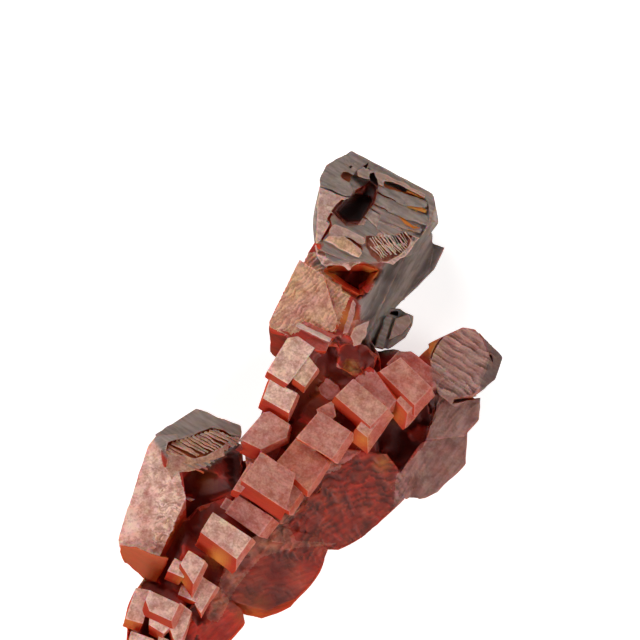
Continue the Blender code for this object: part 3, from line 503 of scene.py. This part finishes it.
# each row of ribs: its face, where its first and last ribs start, their direction, how long the first and
# last are, how many there are, how wide, how far they stand up, and their marks
RIB_ROWS = [
    (LID_FACE, (21.3, 21.1), (17.2, 19.75), -31.0, 3.0, 2.6, 11, 0.27, -0.05,
     {"deep": 0.2, "frost_and_painted_sheen": 0.7, "tan": 0.7}),
    (LID_FACE, (23.5, 20.3), (21.7, 20.95), -35.0, 0.9, 2.2, 5, 0.16, 0.0,
     {"deep": 0.2, "frost_and_painted_sheen": 0.8, "tan": 0.4}),
    (LID_FACE, (16.9, 19.4), (16.5, 18.6), -30.0, 2.2, 1.4, 4, 0.22, -0.1,
     {"deep": 0.2, "frost_and_painted_sheen": 0.5, "tan": 0.9}),
    (CROWN_FACE, (36.9, 40.2), (40.4, 40.8), -54.0, 2.4, 1.3, 13, 0.13, 0.1, {"tip": 0.5, "frost_and_painted_sheen": 0.9}),
    (CROWN_FACE, (37.0, 39.3), (40.3, 39.7), -46.0, 1.6, 0.9, 12, 0.1, 0.0,
     {"tip": 0.3, "frost_and_painted_sheen": 0.9, "tan": 0.3}),
]


def face_height(face, x, y):
    """The height of a sloping face over a point of the plan."""
    middle, heading, angle = face
    turn = math.radians(heading)
    fall = (x - middle.x) * math.cos(turn) + (y - middle.y) * math.sin(turn)
    return middle.z - fall * math.tan(math.radians(angle))


def plate_solid(plate, notch):
    """A closed plate with these corners, or the closed solid that a notch takes away above its floor."""
    solid = bmesh.new()
    ring = bmesh.ops.create_circle(solid, cap_ends=True, segments=len(plate.corners), radius=1.0)["verts"]
    for vert, corner in zip(ring, plate.corners):
        vert.co = Vector((*corner, 0.0))
    for _ in range(3):
        long = [edge for edge in solid.edges if edge.calc_length() > RAGGED_EDGE]
        bmesh.ops.subdivide_edges(solid, edges=long, cuts=1)
    for vert in solid.verts:
        vert.co += RAGGED * noise.noise_vector(vert.co * RAGGED_PACE + Vector((0.0, 0.0, plate.lift)))
        vert.co.z = face_height(plate.face, vert.co.x, vert.co.y) + plate.lift
    made = bmesh.ops.extrude_face_region(solid, geom=solid.faces[:])["geom"]
    moved = [part for part in made if isinstance(part, bmesh.types.BMVert)]
    bmesh.ops.translate(solid, vec=(0.0, 0.0, plate.thick if notch else -plate.thick), verts=moved)
    bmesh.ops.recalc_face_normals(solid, faces=solid.faces[:])
    return solid


def rib_corners(start, turn, length, width):
    """The corners of a rib that runs from its start in a direction and narrows to its end."""
    along = Vector((math.cos(math.radians(turn)), math.sin(math.radians(turn))))
    side = Vector((-along.y, along.x)) * width / 2
    start = Vector(start)
    end = start + along * length
    corners = [start - side, start + side, end + side * RIB_TAPER, end - side * RIB_TAPER]
    return [tuple(corner) for corner in corners]


def ribs():
    """The plates of all the rows of ribs."""
    made = []
    for face, first, last, turn, long_first, long_last, count, width, lift, marks in RIB_ROWS:
        for i in range(count):
            t = i / (count - 1)
            start = Vector(first).lerp(Vector(last), t)
            wobble = noise.noise(Vector((start.x * 7.0, start.y * 7.0, 0.0)))
            longer, turned, wider, higher = (change * wobble for change in RIB_CHANGES)
            length = (long_first + (long_last - long_first) * t) * (1.0 + longer)
            corners = rib_corners(start, turn + turned, length, width * (1.0 + wider))
            made.append(Plate(face, lift + higher, RIB_THICK, marks, corners))
    return made


def shell_object(name, solid, number):
    """A working object of a solid, with its number noted on all its faces."""
    shell = solid.faces.layers.int.new("shell")
    for face in solid.faces:
        face[shell] = number
    mesh = bpy.data.meshes.new(name)
    solid.to_mesh(mesh)
    solid.free()
    return bpy.data.objects.new(name, mesh)


def join_plates(base, plates, operation, first):
    """A solid with plates grown on or notched out. Their faces are numbered from first on."""
    others = bpy.data.collections.new("others")
    bpy.context.scene.collection.children.link(others)
    for number, plate in enumerate(plates, first):
        others.objects.link(shell_object("other", plate_solid(plate, operation == "DIFFERENCE"), number))
    mesh = bpy.data.meshes.new("whole")
    base.to_mesh(mesh)
    base.free()
    whole = bpy.data.objects.new("whole", mesh)
    bpy.context.scene.collection.objects.link(whole)
    modifier = whole.modifiers.new("join", "BOOLEAN")
    modifier.operation = operation
    modifier.solver = "EXACT"
    modifier.operand_type = "COLLECTION"
    modifier.collection = others
    joined = bmesh.new()
    joined.from_object(whole, bpy.context.evaluated_depsgraph_get())
    for working in [whole, *others.objects]:
        bpy.data.meshes.remove(working.data)
    bpy.data.collections.remove(others)
    return joined


def load_solid(node):
    """A CAD node's surface on the plan, with its loose triangles merged."""
    solid = bmesh.new()
    solid.from_mesh(node.data)
    bmesh.ops.scale(solid, vec=(1.0 / MM,) * 3, verts=solid.verts[:])
    bmesh.ops.translate(solid, vec=PLAN_MIDDLE, verts=solid.verts[:])
    bmesh.ops.remove_doubles(solid, verts=solid.verts[:], dist=MERGED)
    return solid


def edge_limit(edge):
    """The longest that an edge may stay."""
    highest = max((face.normal.z for face in edge.link_faces), default=-1.0)
    if highest < FACES_UP:
        return HIDDEN_EDGE if highest < FACES_DOWN else WALL_EDGE
    middle = (edge.verts[0].co + edge.verts[1].co) / 2.0
    for area, limit in FINE_AREAS:
        if area.low[0] < middle.x < area.high[0] and area.low[1] < middle.y < area.high[1]:
            if highest > SLOPES_UP and area.holds(middle.x, middle.y):
                return limit
    return PLAIN_EDGE


def drop_doubled_faces(solid):
    """Takes out faces that lie back to back on the same corners, and edges that no face uses."""
    pairs = {}
    for face in solid.faces:
        pairs.setdefault(frozenset(face.verts), []).append(face)
    doubled = [face for faces in pairs.values() for face in faces[:len(faces) // 2 * 2]]
    bmesh.ops.delete(solid, geom=doubled, context="FACES")
    loose = [edge for edge in solid.edges if not edge.link_faces]
    bmesh.ops.delete(solid, geom=loose, context="EDGES")


def split(solid, edges):
    """Halves these edges, and keeps the faces triangles."""
    bmesh.ops.subdivide_edges(solid, edges=edges, cuts=1)
    bmesh.ops.triangulate(solid, faces=[face for face in solid.faces if len(face.verts) > 3])
    drop_doubled_faces(solid)


def sharp_edges(solid):
    """The edges that can be seen from above and are sharp enough to be worn."""
    return [edge for edge in solid.edges
            if len(edge.link_faces) == 2 and edge.calc_face_angle() > WORN_ANGLE
            and any(face.normal.z > FACES_UP for face in edge.link_faces)]


def divide(solid):
    """Divides every long edge again and again, finest where the surface is carved and beside sharp edges."""
    bmesh.ops.triangulate(solid, faces=solid.faces[:], ngon_method="BEAUTY")
    drop_doubled_faces(solid)
    for _ in range(MOST_DIVISIONS):
        long = [edge for edge in solid.edges if edge.calc_length() > edge_limit(edge)]
        if not long:
            break
        split(solid, long)
    for _ in range(RIM_DIVISIONS):
        beside = {edge for sharp in sharp_edges(solid) for vert in sharp.verts for edge in vert.link_edges
                  if any(face.normal.z > FACES_UP for face in edge.link_faces)}
        split(solid, [edge for edge in solid.edges if edge in beside and edge.calc_length() > RIM_EDGE])
    solid.normal_update()


def soften_edges(solid):
    """Takes the sharpness off the edges, and notes where those that stand out are, for their painted
    highlights.
    """
    rim = solid.verts.layers.float.new("rim")
    worn_and_painted_relief_shade = sharp_edges(solid)
    for edge in worn_and_painted_relief_shade:
        if edge.is_convex:
            for vert in edge.verts:
                vert[rim] = 1.0
    verts = list({vert for edge in worn_and_painted_relief_shade for vert in edge.verts if vert.co.z > FLAT_BACK})
    bmesh.ops.smooth_vert(solid, verts=verts, factor=WEAR, use_axis_x=True, use_axis_y=True, use_axis_z=True)


Plates = namedtuple("Plates", "rows layer")


def waviness(spot):
    """The slight waves of every surface."""
    return 0.015 * noise.noise(spot * 0.7) + 0.01 * noise.noise(spot * 2.6)


def dents(spot):
    """The broad dents of upright faces."""
    return 0.16 * noise.noise(spot * 0.45)


def rise_of(vert, plates):
    """How far the surface rises at a vertex."""
    spot = vert.co
    height = waviness(spot)
    if vert.normal.z < SLOPES_UP:
        return height + dents(spot)
    numbers = {face[plates.layer] for face in vert.link_faces}
    if len(numbers) > 1:
        return height
    number = numbers.pop()
    if number:
        rise = plates.rows[number - 1].rise
        return height + (rise(spot) if rise else 0.0)
    for area, rise, ceiling in RELIEF:
        there = area.cover(spot) if spot.z < ceiling else 0.0
        if there > 0.0:
            height += there * rise(spot)
    return height


def carve(solid, rows):
    """Raises and sinks the surface where it grew in steps, waves and wrinkles, and notes by how much."""
    solid.normal_update()
    plates = Plates(rows, solid.faces.layers.int["shell"])
    ridge = solid.verts.layers.float.new("ridge")
    moves = []
    for vert in solid.verts:
        if vert.co.z > FLAT_BACK:
            vert[ridge] = rise_of(vert, plates)
            moves.append((vert, vert.normal * vert[ridge]))
    for vert, move in moves:
        vert.co += move
    solid.normal_update()


def face_direction(heading, dip):
    """The direction in which a face points that falls toward a heading by so much, in degrees."""
    turn = math.radians(heading)
    lean = math.radians(dip)
    return Vector((math.cos(turn) * math.sin(lean), math.sin(turn) * math.sin(lean), math.cos(lean)))


BLOCK_FRONT = face_direction(57.0, 5.0)  # all the small blocks' fronts point this way
BLOCK_FRONT_LEEWAY = math.cos(math.radians(2.0))


def number_blocks(solid):
    """Notes on each whole flat face of the small blocks which row of the block faces it is."""
    block = solid.faces.layers.int.new("block")
    middles = [Vector(middle) for middle, _, _ in BLOCK_FACES]
    for face in solid.faces:
        if face.normal.dot(BLOCK_FRONT) > BLOCK_FRONT_LEEWAY:
            spot = face.calc_center_median_weighted().to_2d()
            distances = [(middle - spot).length for middle in middles]
            face[block] = 1 + distances.index(min(distances))


def frost_and_sheen_of(face, middle, block):
    """How much frosted skin and painted sheen a face of the surface has, and how tan."""
    if any(middle.z < ceiling and area.holds(middle.x, middle.y) for area, ceiling in FLOORS):
        return 0.0, 0.0
    if face[block]:
        return BLOCK_FACES[face[block] - 1][1:]
    if face.normal.z > LIES_FLAT:
        for area, level, tan in FROST_AND_SHEEN_FRONTS:
            if area.holds(middle.x, middle.y):
                return level, tan
    heading = math.degrees(math.atan2(face.normal.y, face.normal.x))
    # the right-hand side faces of the rows get a painted sheen
    right_hand = SIDE_HEADINGS[0] < heading < SIDE_HEADINGS[1]
    in_rows = middle.z > SIDE_LOWEST and middle.y < ROWS_END and not FRONT_FLANK.holds(middle.x, middle.y)
    return (PAINTED_SIDE_SHEEN if right_hand and in_rows else 0.0), 0.0


def strongest(rows, spot):
    """How strongly a point is marked by the areas over it whose ceilings are above it."""
    return max(level * area.cover(spot) if spot.z < ceiling else 0.0 for area, level, ceiling in rows)


def wandering(rows, middle):
    """How strongly an upright face is marked, with a border that wanders and fades."""
    spots = [middle + WANDER * noise.noise_vector(middle * pace) for pace in WANDER_PACES]
    return sum(strongest(rows, spot) for spot in spots) / len(spots)


def amber_and_glow_of(middle):
    """How much amber colour and painted glow the crystal has there, most in the middle of an amber place
    and less toward its edge.
    """
    spot = middle.to_2d()
    return max(level * max(0.0, 1.0 - (Vector(place) - spot).length / wide) for place, wide, level in AMBER_AND_GLOW_PLACES)


def light_within(face):
    """How much painted glow a face gets, for light coming out of it: little on one that looks up, and less
    near the back, as painted shade.
    """
    by_slope = 1.0 - LIT_LOSS * max(0.0, face.normal.z)
    by_height = min(1.0, LIT_AT_BACK + face.calc_center_median().z / LIT_HEIGHT)
    return by_slope * by_height


def marks_of(face, block):
    """The marks of a face of the main surface."""
    middle = face.calc_center_median()
    frost_and_painted_sheen, tan = frost_and_sheen_of(face, middle, block)
    tip = wandering(TIPS, middle) if face.normal.z < FACES_UP else strongest(TIPS, middle)
    tip *= 1.0 - max(area.cover(middle) for area in NO_TIPS)
    brown = strongest(BROWNS, middle)
    if face.normal.z < FACES_UP:
        lowness = max(0.0, 1.0 - middle.z / LOW_WALL_HEIGHT)
        brown = max(brown, LOW_WALL_BROWN * lowness)
        frost_and_painted_sheen = max(frost_and_painted_sheen, LOW_WALL_PALENESS * lowness)
    headings = [heading for area, heading in HEADINGS if area.holds(middle.x, middle.y)]
    turn = -math.radians((headings + [PLAIN_HEADING])[0])
    return {"frost_and_painted_sheen": frost_and_painted_sheen, "tan": tan, "tip": tip, "deep": strongest(SHADE_AND_DARK_AREAS, middle),
            "amber_and_painted_glow": amber_and_glow_of(middle), "brown": brown, "turn": turn}


def mark_growth(solid, rows):
    """Notes its marks on each face, a plate's own or those of its place."""
    shell = solid.faces.layers.int["shell"]
    block = solid.faces.layers.int["block"]
    layers = {name: solid.faces.layers.float.new(name) for name in MARKS}
    for face in solid.faces:
        marks = {"turn": -math.radians(PLAIN_HEADING)}
        marks.update(rows[face[shell] - 1].marks if face[shell] else marks_of(face, block))
        # painted glow of light from within, strongest on faces that don't look up
        marks["painted_glow"] = light_within(face)
        for name, layer in layers.items():
            face[layer] = marks.get(name, 0.0)
        # painted shade over everything in the crown's hollow
        face[layers["deep"]] = max(face[layers["deep"]], CROWN_HOLLOW.cover(face.calc_center_median()))


def finish_piece(name, solid, material):
    """Makes the finished piece of a solid on the plan, in its real place and size."""
    bmesh.ops.translate(solid, vec=-PLAN_MIDDLE, verts=solid.verts[:])
    bmesh.ops.scale(solid, vec=(MM,) * 3, verts=solid.verts[:])
    mesh = bpy.data.meshes.new(name)
    solid.to_mesh(mesh)
    solid.free()
    mesh.materials.append(material)
    mesh.shade_smooth()
    mesh.set_sharp_from_angle(angle=SHARP_ANGLE)
    piece = bpy.data.objects.new(name, mesh)
    bpy.context.scene.collection.objects.link(piece)
    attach(piece, "root")
    return piece


# --- materials ---
def colour(code):
    """The linear colour of an sRGB hex code."""
    parts = [int(code[i:i + 2], 16) / 255.0 for i in (0, 2, 4)]
    linear = [part / 12.92 if part <= 0.04045 else ((part + 0.055) / 1.055) ** 2.4 for part in parts]
    return (*linear, 1.0)


def add(tree, kind, inputs=None, **settings):
    """Adds a node with its settings and inputs.

    An input is a value, a hex colour, a socket to link from, or a node, which gives its first output in use.
    """
    node = tree.nodes.new("ShaderNode" + kind)
    for name, value in settings.items():
        setattr(node, name, value)
    for name, source in (inputs or {}).items():
        if isinstance(source, bpy.types.Node):
            source = next(output for output in source.outputs if output.enabled)
        if isinstance(source, bpy.types.NodeSocket):
            tree.links.new(source, node.inputs[name])
        else:
            node.inputs[name].default_value = colour(source) if isinstance(source, str) else source
    return node


# the sizes of what grew on the crystals
CLOUD = 2.2 * MM  # broad drifts of colour
BLOTCH = 0.9 * MM  # patches of the frosted skin and its painted sheen
STREAK = 0.3 * MM  # growth lines, finer on the real mineral and drawn as coarse as they need to show
SPECK = 0.22 * MM  # its smallest steps, which roughen it and speckle its frosted colour with a painted sparkle
STREAK_STRETCH = (0.16, 1.0, 0.3)  # lines run along a crystal, and drift down its upright sides
BITE = 0.04 * MM  # how deep the finest roughness is
# what is made of a pattern: its lowest and highest value, and what these become
RANGES = {
    # painted light and shade of the carved relief: the crests lighter and the troughs darker
    "worn_and_painted_relief_shade": ("ridge", -0.12, 0.12, 0.3, 1.7),
    "patchy": ("blotch", 0.36, 0.64, 0.25, 1.05),
    # a painted sparkle: specks of the frosted colour lighter and darker
    "sparkle": ("speck", 0.38, 0.62, 0.75, 1.25),
    "striae": ("streak", 0.35, 0.65, 0.38, 0.68),
    "drift": ("cloud", 0.38, 0.62, 0.35, 1.0),
    "frost_drift": ("cloud", 0.38, 0.62, 0.8, 1.25),
}
# the mineral's colours: the pattern that each follows, its darkest and its lightest
TONES = {
    "shade": ("lined", "500504", "CC2C16"),
    # the painted glow of light come through the sides and undersides
    "glow": ("cloud", "BA220C", "E4561E"),
    "earth": ("lined", "260804", "A8482E"),
    # the pale frosted skin, which also stands in for the faces' sheen: a painted sheen
    "pale_frost_and_sheen_tone": ("mottle", "A86450", "FFDCCC"),
    "tan": ("mottle", "94603E", "ECC298"),
    "grey": ("lined", "4A3A34", "BCA89E"),
}


def growth_patterns(tree):
    """Nodes for the faces' marks, and for drifts of colour, patches, specks and growth lines."""
    parts = {name: add(tree, "Attribute", attribute_name=name).outputs["Fac"]
             for name in (*MARKS, "rim", "ridge")}
    place = add(tree, "TexCoord").outputs["Object"]
    turned = add(tree, "VectorRotate", {"Vector": place, "Angle": parts["turn"]}, rotation_type="Z_AXIS")
    drawn = add(tree, "Mapping", {"Vector": turned, "Scale": STREAK_STRETCH})
    parts["cloud"] = add(tree, "TexNoise", {"Vector": place, "Scale": 1.0 / CLOUD, "Detail": 4.0})
    parts["blotch"] = add(tree, "TexNoise", {"Vector": place, "Scale": 1.0 / BLOTCH, "Detail": 8.0,
                                             "Roughness": 0.7})
    parts["speck"] = add(tree, "TexNoise", {"Vector": place, "Scale": 1.0 / SPECK, "Detail": 4.0})
    parts["streak"] = add(tree, "TexNoise", {"Vector": drawn, "Scale": 1.0 / STREAK, "Detail": 5.0})
    for name, (pattern, low, high, least, most) in RANGES.items():
        parts[name] = add(tree, "MapRange", {"Value": parts[pattern], "From Min": low, "From Max": high,
                                             "To Min": least, "To Max": most})
    return parts


def skin_and_lines(tree, parts):
    """Adds how pale the frosted skin and its painted sheen are, and how light the growth lines are, with
    painted light on the carved crests and painted shade in their troughs.
    """
    grain = add(tree, "Math", {0: parts["patchy"], 1: parts["sparkle"]}, operation="MULTIPLY")
    brushed = add(tree, "Math", {0: parts["streak"], 1: 0.8, 2: 0.6}, operation="MULTIPLY_ADD")
    skin_and_sheen = add(tree, "Math", {0: grain, 1: brushed}, operation="MULTIPLY")
    for name, pattern in (("mottle", skin_and_sheen), ("lined", parts["striae"])):
        parts[name] = add(tree, "Math", {0: parts["worn_and_painted_relief_shade"], 1: pattern}, operation="MULTIPLY", use_clamp=True)


def crystal_colour(tree, parts):
    """The surface's colour, from its red body with painted glow and amber out to its frosted skin with
    painted sheen, grey ends, painted highlights on its edges, and painted shade in its hollows.
    """
    tones = {name: add(tree, "Mix", {"Factor": parts[pattern], "A": dark, "B": light}, data_type="RGBA")
             for name, (pattern, dark, light) in TONES.items()}
    browning, tanned = [add(tree, "Math", {0: parts[mark], 1: parts["drift"]}, operation="MULTIPLY")
                    for mark in ("brown", "tan")]
    skin_and_sheen = add(tree, "Mix", {"Factor": tanned, "A": tones["pale_frost_and_sheen_tone"], "B": tones["tan"]}, data_type="RGBA")
    frost_and_sheen_laid = add(tree, "Math", {0: parts["frost_and_painted_sheen"], 1: parts["frost_drift"]}, operation="MULTIPLY", use_clamp=True)
    # painted highlights along the frosted edges that stand out
    edge = add(tree, "Math", {0: parts["frost_and_painted_sheen"], 1: parts["rim"]}, operation="MULTIPLY")
    painted_edge_highlight = add(tree, "Math", {0: edge, 1: 0.5}, operation="MULTIPLY")
    # each layer's strength and colour, from the dark red body outward: painted glow, amber with painted
    # glow, brown, frosted skin with painted sheen, grey ends, painted edge highlights, darkness with painted
    # shade
    layers = [(parts["painted_glow"], tones["glow"]), (parts["amber_and_painted_glow"], "DC8A34"), (browning, tones["earth"]),
              (frost_and_sheen_laid, skin_and_sheen), (parts["tip"], tones["grey"]), (painted_edge_highlight, "F4D8CC"),
              (parts["deep"], "2A0503")]
    surface = tones["shade"]
    for strength, layer in layers:
        surface = add(tree, "Mix", {"Factor": strength, "A": surface, "B": layer}, data_type="RGBA")
    return surface


def new_material(name):
    """A new material, and its empty node tree."""
    material = bpy.data.materials.new(name)
    material.use_nodes = True
    material.node_tree.nodes.clear()
    return material, material.node_tree


def vanadinite():
    """Vanadinite, a lead vanadate, as it grew from solution in six-sided prisms.

    Its index is very high, which on clean faces gives a resinous shine. Here countless fine growth steps
    break that up into a satin, so the upper faces look dusty pink; that sheen is painted into their colour.
    Light goes a little way in, red the furthest, so the sides and undersides glow orange-red, and thin
    places amber; the subsurface light gives part of this, and the rest is painted glow in the colour.
    """
    material, tree = new_material("vanadinite")
    parts = growth_patterns(tree)
    skin_and_lines(tree, parts)
    ragged = add(tree, "Math", {0: parts["speck"], 1: parts["blotch"]}, operation="ADD")
    bump = add(tree, "Bump", {"Height": ragged, "Strength": 0.7, "Distance": BITE})
    shader = add(tree, "BsdfPrincipled", {
        "Base Color": crystal_colour(tree, parts), "Normal": bump, "Roughness": 0.55, "IOR": 2.35,
        "Specular IOR Level": 0.12, "Subsurface Weight": 1.0, "Subsurface Radius": (1.2, 0.25, 0.08),
        "Subsurface Scale": 0.3 * MM})
    add(tree, "OutputMaterial", {"Surface": shader})
    return material


def white_card():
    """Matt white card, rolled smooth: an even pale ground with no shine, bright to the view's edges."""
    material, tree = new_material("matt white card")
    shader = add(tree, "BsdfPrincipled", {"Base Color": "E6E4E2", "Roughness": 0.9,
                                          "Emission Color": "FFFFFF", "Emission Strength": 0.7})
    add(tree, "OutputMaterial", {"Surface": shader})
    return material


# --- the crystals ---
def crystal_surface():
    """The whole cluster's surface on the plan, with its plates and notches, divided, carved and marked."""
    solid = load_solid(frame["nodes"]["vanadinite_crystals"])
    solid.faces.layers.int.new("shell")
    rows = PLATES + NOTCHES + LIP + ribs()
    first = 1 + len(PLATES)
    later = first + len(NOTCHES)
    solid = join_plates(solid, PLATES, "UNION", 1)
    solid = join_plates(solid, NOTCHES, "DIFFERENCE", first)
    solid = join_plates(solid, rows[later - 1:], "UNION", later)
    bmesh.ops.remove_doubles(solid, verts=solid.verts[:], dist=MERGED)
    bmesh.ops.dissolve_limit(solid, angle_limit=ONE_FACE_ANGLE, verts=solid.verts[:], edges=solid.edges[:])
    bmesh.ops.dissolve_degenerate(solid, dist=SLIVER, edges=solid.edges[:])
    number_blocks(solid)
    divide(solid)
    mark_growth(solid, rows)
    soften_edges(solid)
    carve(solid, rows)
    return solid


# --- the room ---
def lay_table(size, height, material):
    """A square table top, which isn't part of the object, with its middle under the world's origin."""
    sheet = bmesh.new()
    bmesh.ops.create_grid(sheet, x_segments=1, y_segments=1, size=size / 2)
    bmesh.ops.translate(sheet, vec=(0.0, 0.0, height), verts=sheet.verts[:])
    mesh = bpy.data.meshes.new("table")
    sheet.to_mesh(mesh)
    sheet.free()
    mesh.materials.append(material)
    table = bpy.data.objects.new("table", mesh)
    bpy.context.scene.collection.objects.link(table)
    table.visible_glossy = False


def soft_light(name, place, size, brightness):
    """A square soft light of this brightness, aimed at the world's origin."""
    data = bpy.data.lights.new(name, "AREA")
    data.shape = "SQUARE"
    data.size = size
    data.energy = brightness * math.pi * size * size
    lamp = bpy.data.objects.new(name, data)
    lamp.location = place
    lamp.rotation_euler = (Vector() - Vector(place)).to_track_quat("-Z", "Y").to_euler()
    lamp.visible_camera = False
    bpy.context.scene.collection.objects.link(lamp)


def room():
    """A white room that lights the crystals only faintly, so that the soft lights shape them."""
    world = bpy.data.worlds.new("pale room")
    world.use_nodes = True
    tree = world.node_tree
    tree.nodes.clear()
    dim = add(tree, "Background", {"Color": "FFFFFF", "Strength": 0.06})
    seen = add(tree, "Background", {"Color": "FFFFFF", "Strength": 1.0})
    path = add(tree, "LightPath").outputs["Is Camera Ray"]
    mix = add(tree, "MixShader", {0: path, 1: dim, 2: seen})
    add(tree, "OutputWorld", {"Surface": mix})
    bpy.context.scene.world = world


CAMERA_PLACE = (1.0 * MM, 10.0 * MM, 0.7)
VIEW_HEIGHT = 8.5 * MM  # where the view is as wide as this:
VIEW_WIDTH = 64.0 * MM


def camera():
    """A camera that looks straight down."""
    data = bpy.data.cameras.new("camera")
    data.lens = data.sensor_width * (CAMERA_PLACE[2] - VIEW_HEIGHT) / VIEW_WIDTH
    data.clip_start = 0.05
    data.clip_end = 10.0
    stand = bpy.data.objects.new("camera", data)
    stand.location = CAMERA_PLACE
    bpy.context.scene.collection.objects.link(stand)
    bpy.context.scene.camera = stand


piece = finish_piece("crystal_cluster", crystal_surface(), vanadinite())
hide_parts("vanadinite_crystals")
lay_table(size=4.0, height=-0.2 * MM, material=white_card())
soft_light("softbox at the upper left", (-0.46, 0.8, 0.92), size=0.6, brightness=6.5)
soft_light("softbox at the right", (1.0, 0.0, 0.84), size=0.6, brightness=5.0)
soft_light("fill from below", (0.2, -1.0, 0.8), size=0.5, brightness=3.0)
soft_light("fill from the lower left", (-0.6, -0.8, 0.6), size=0.6, brightness=5.5)
room()
camera()
bpy.context.scene.view_settings.view_transform = "Standard"
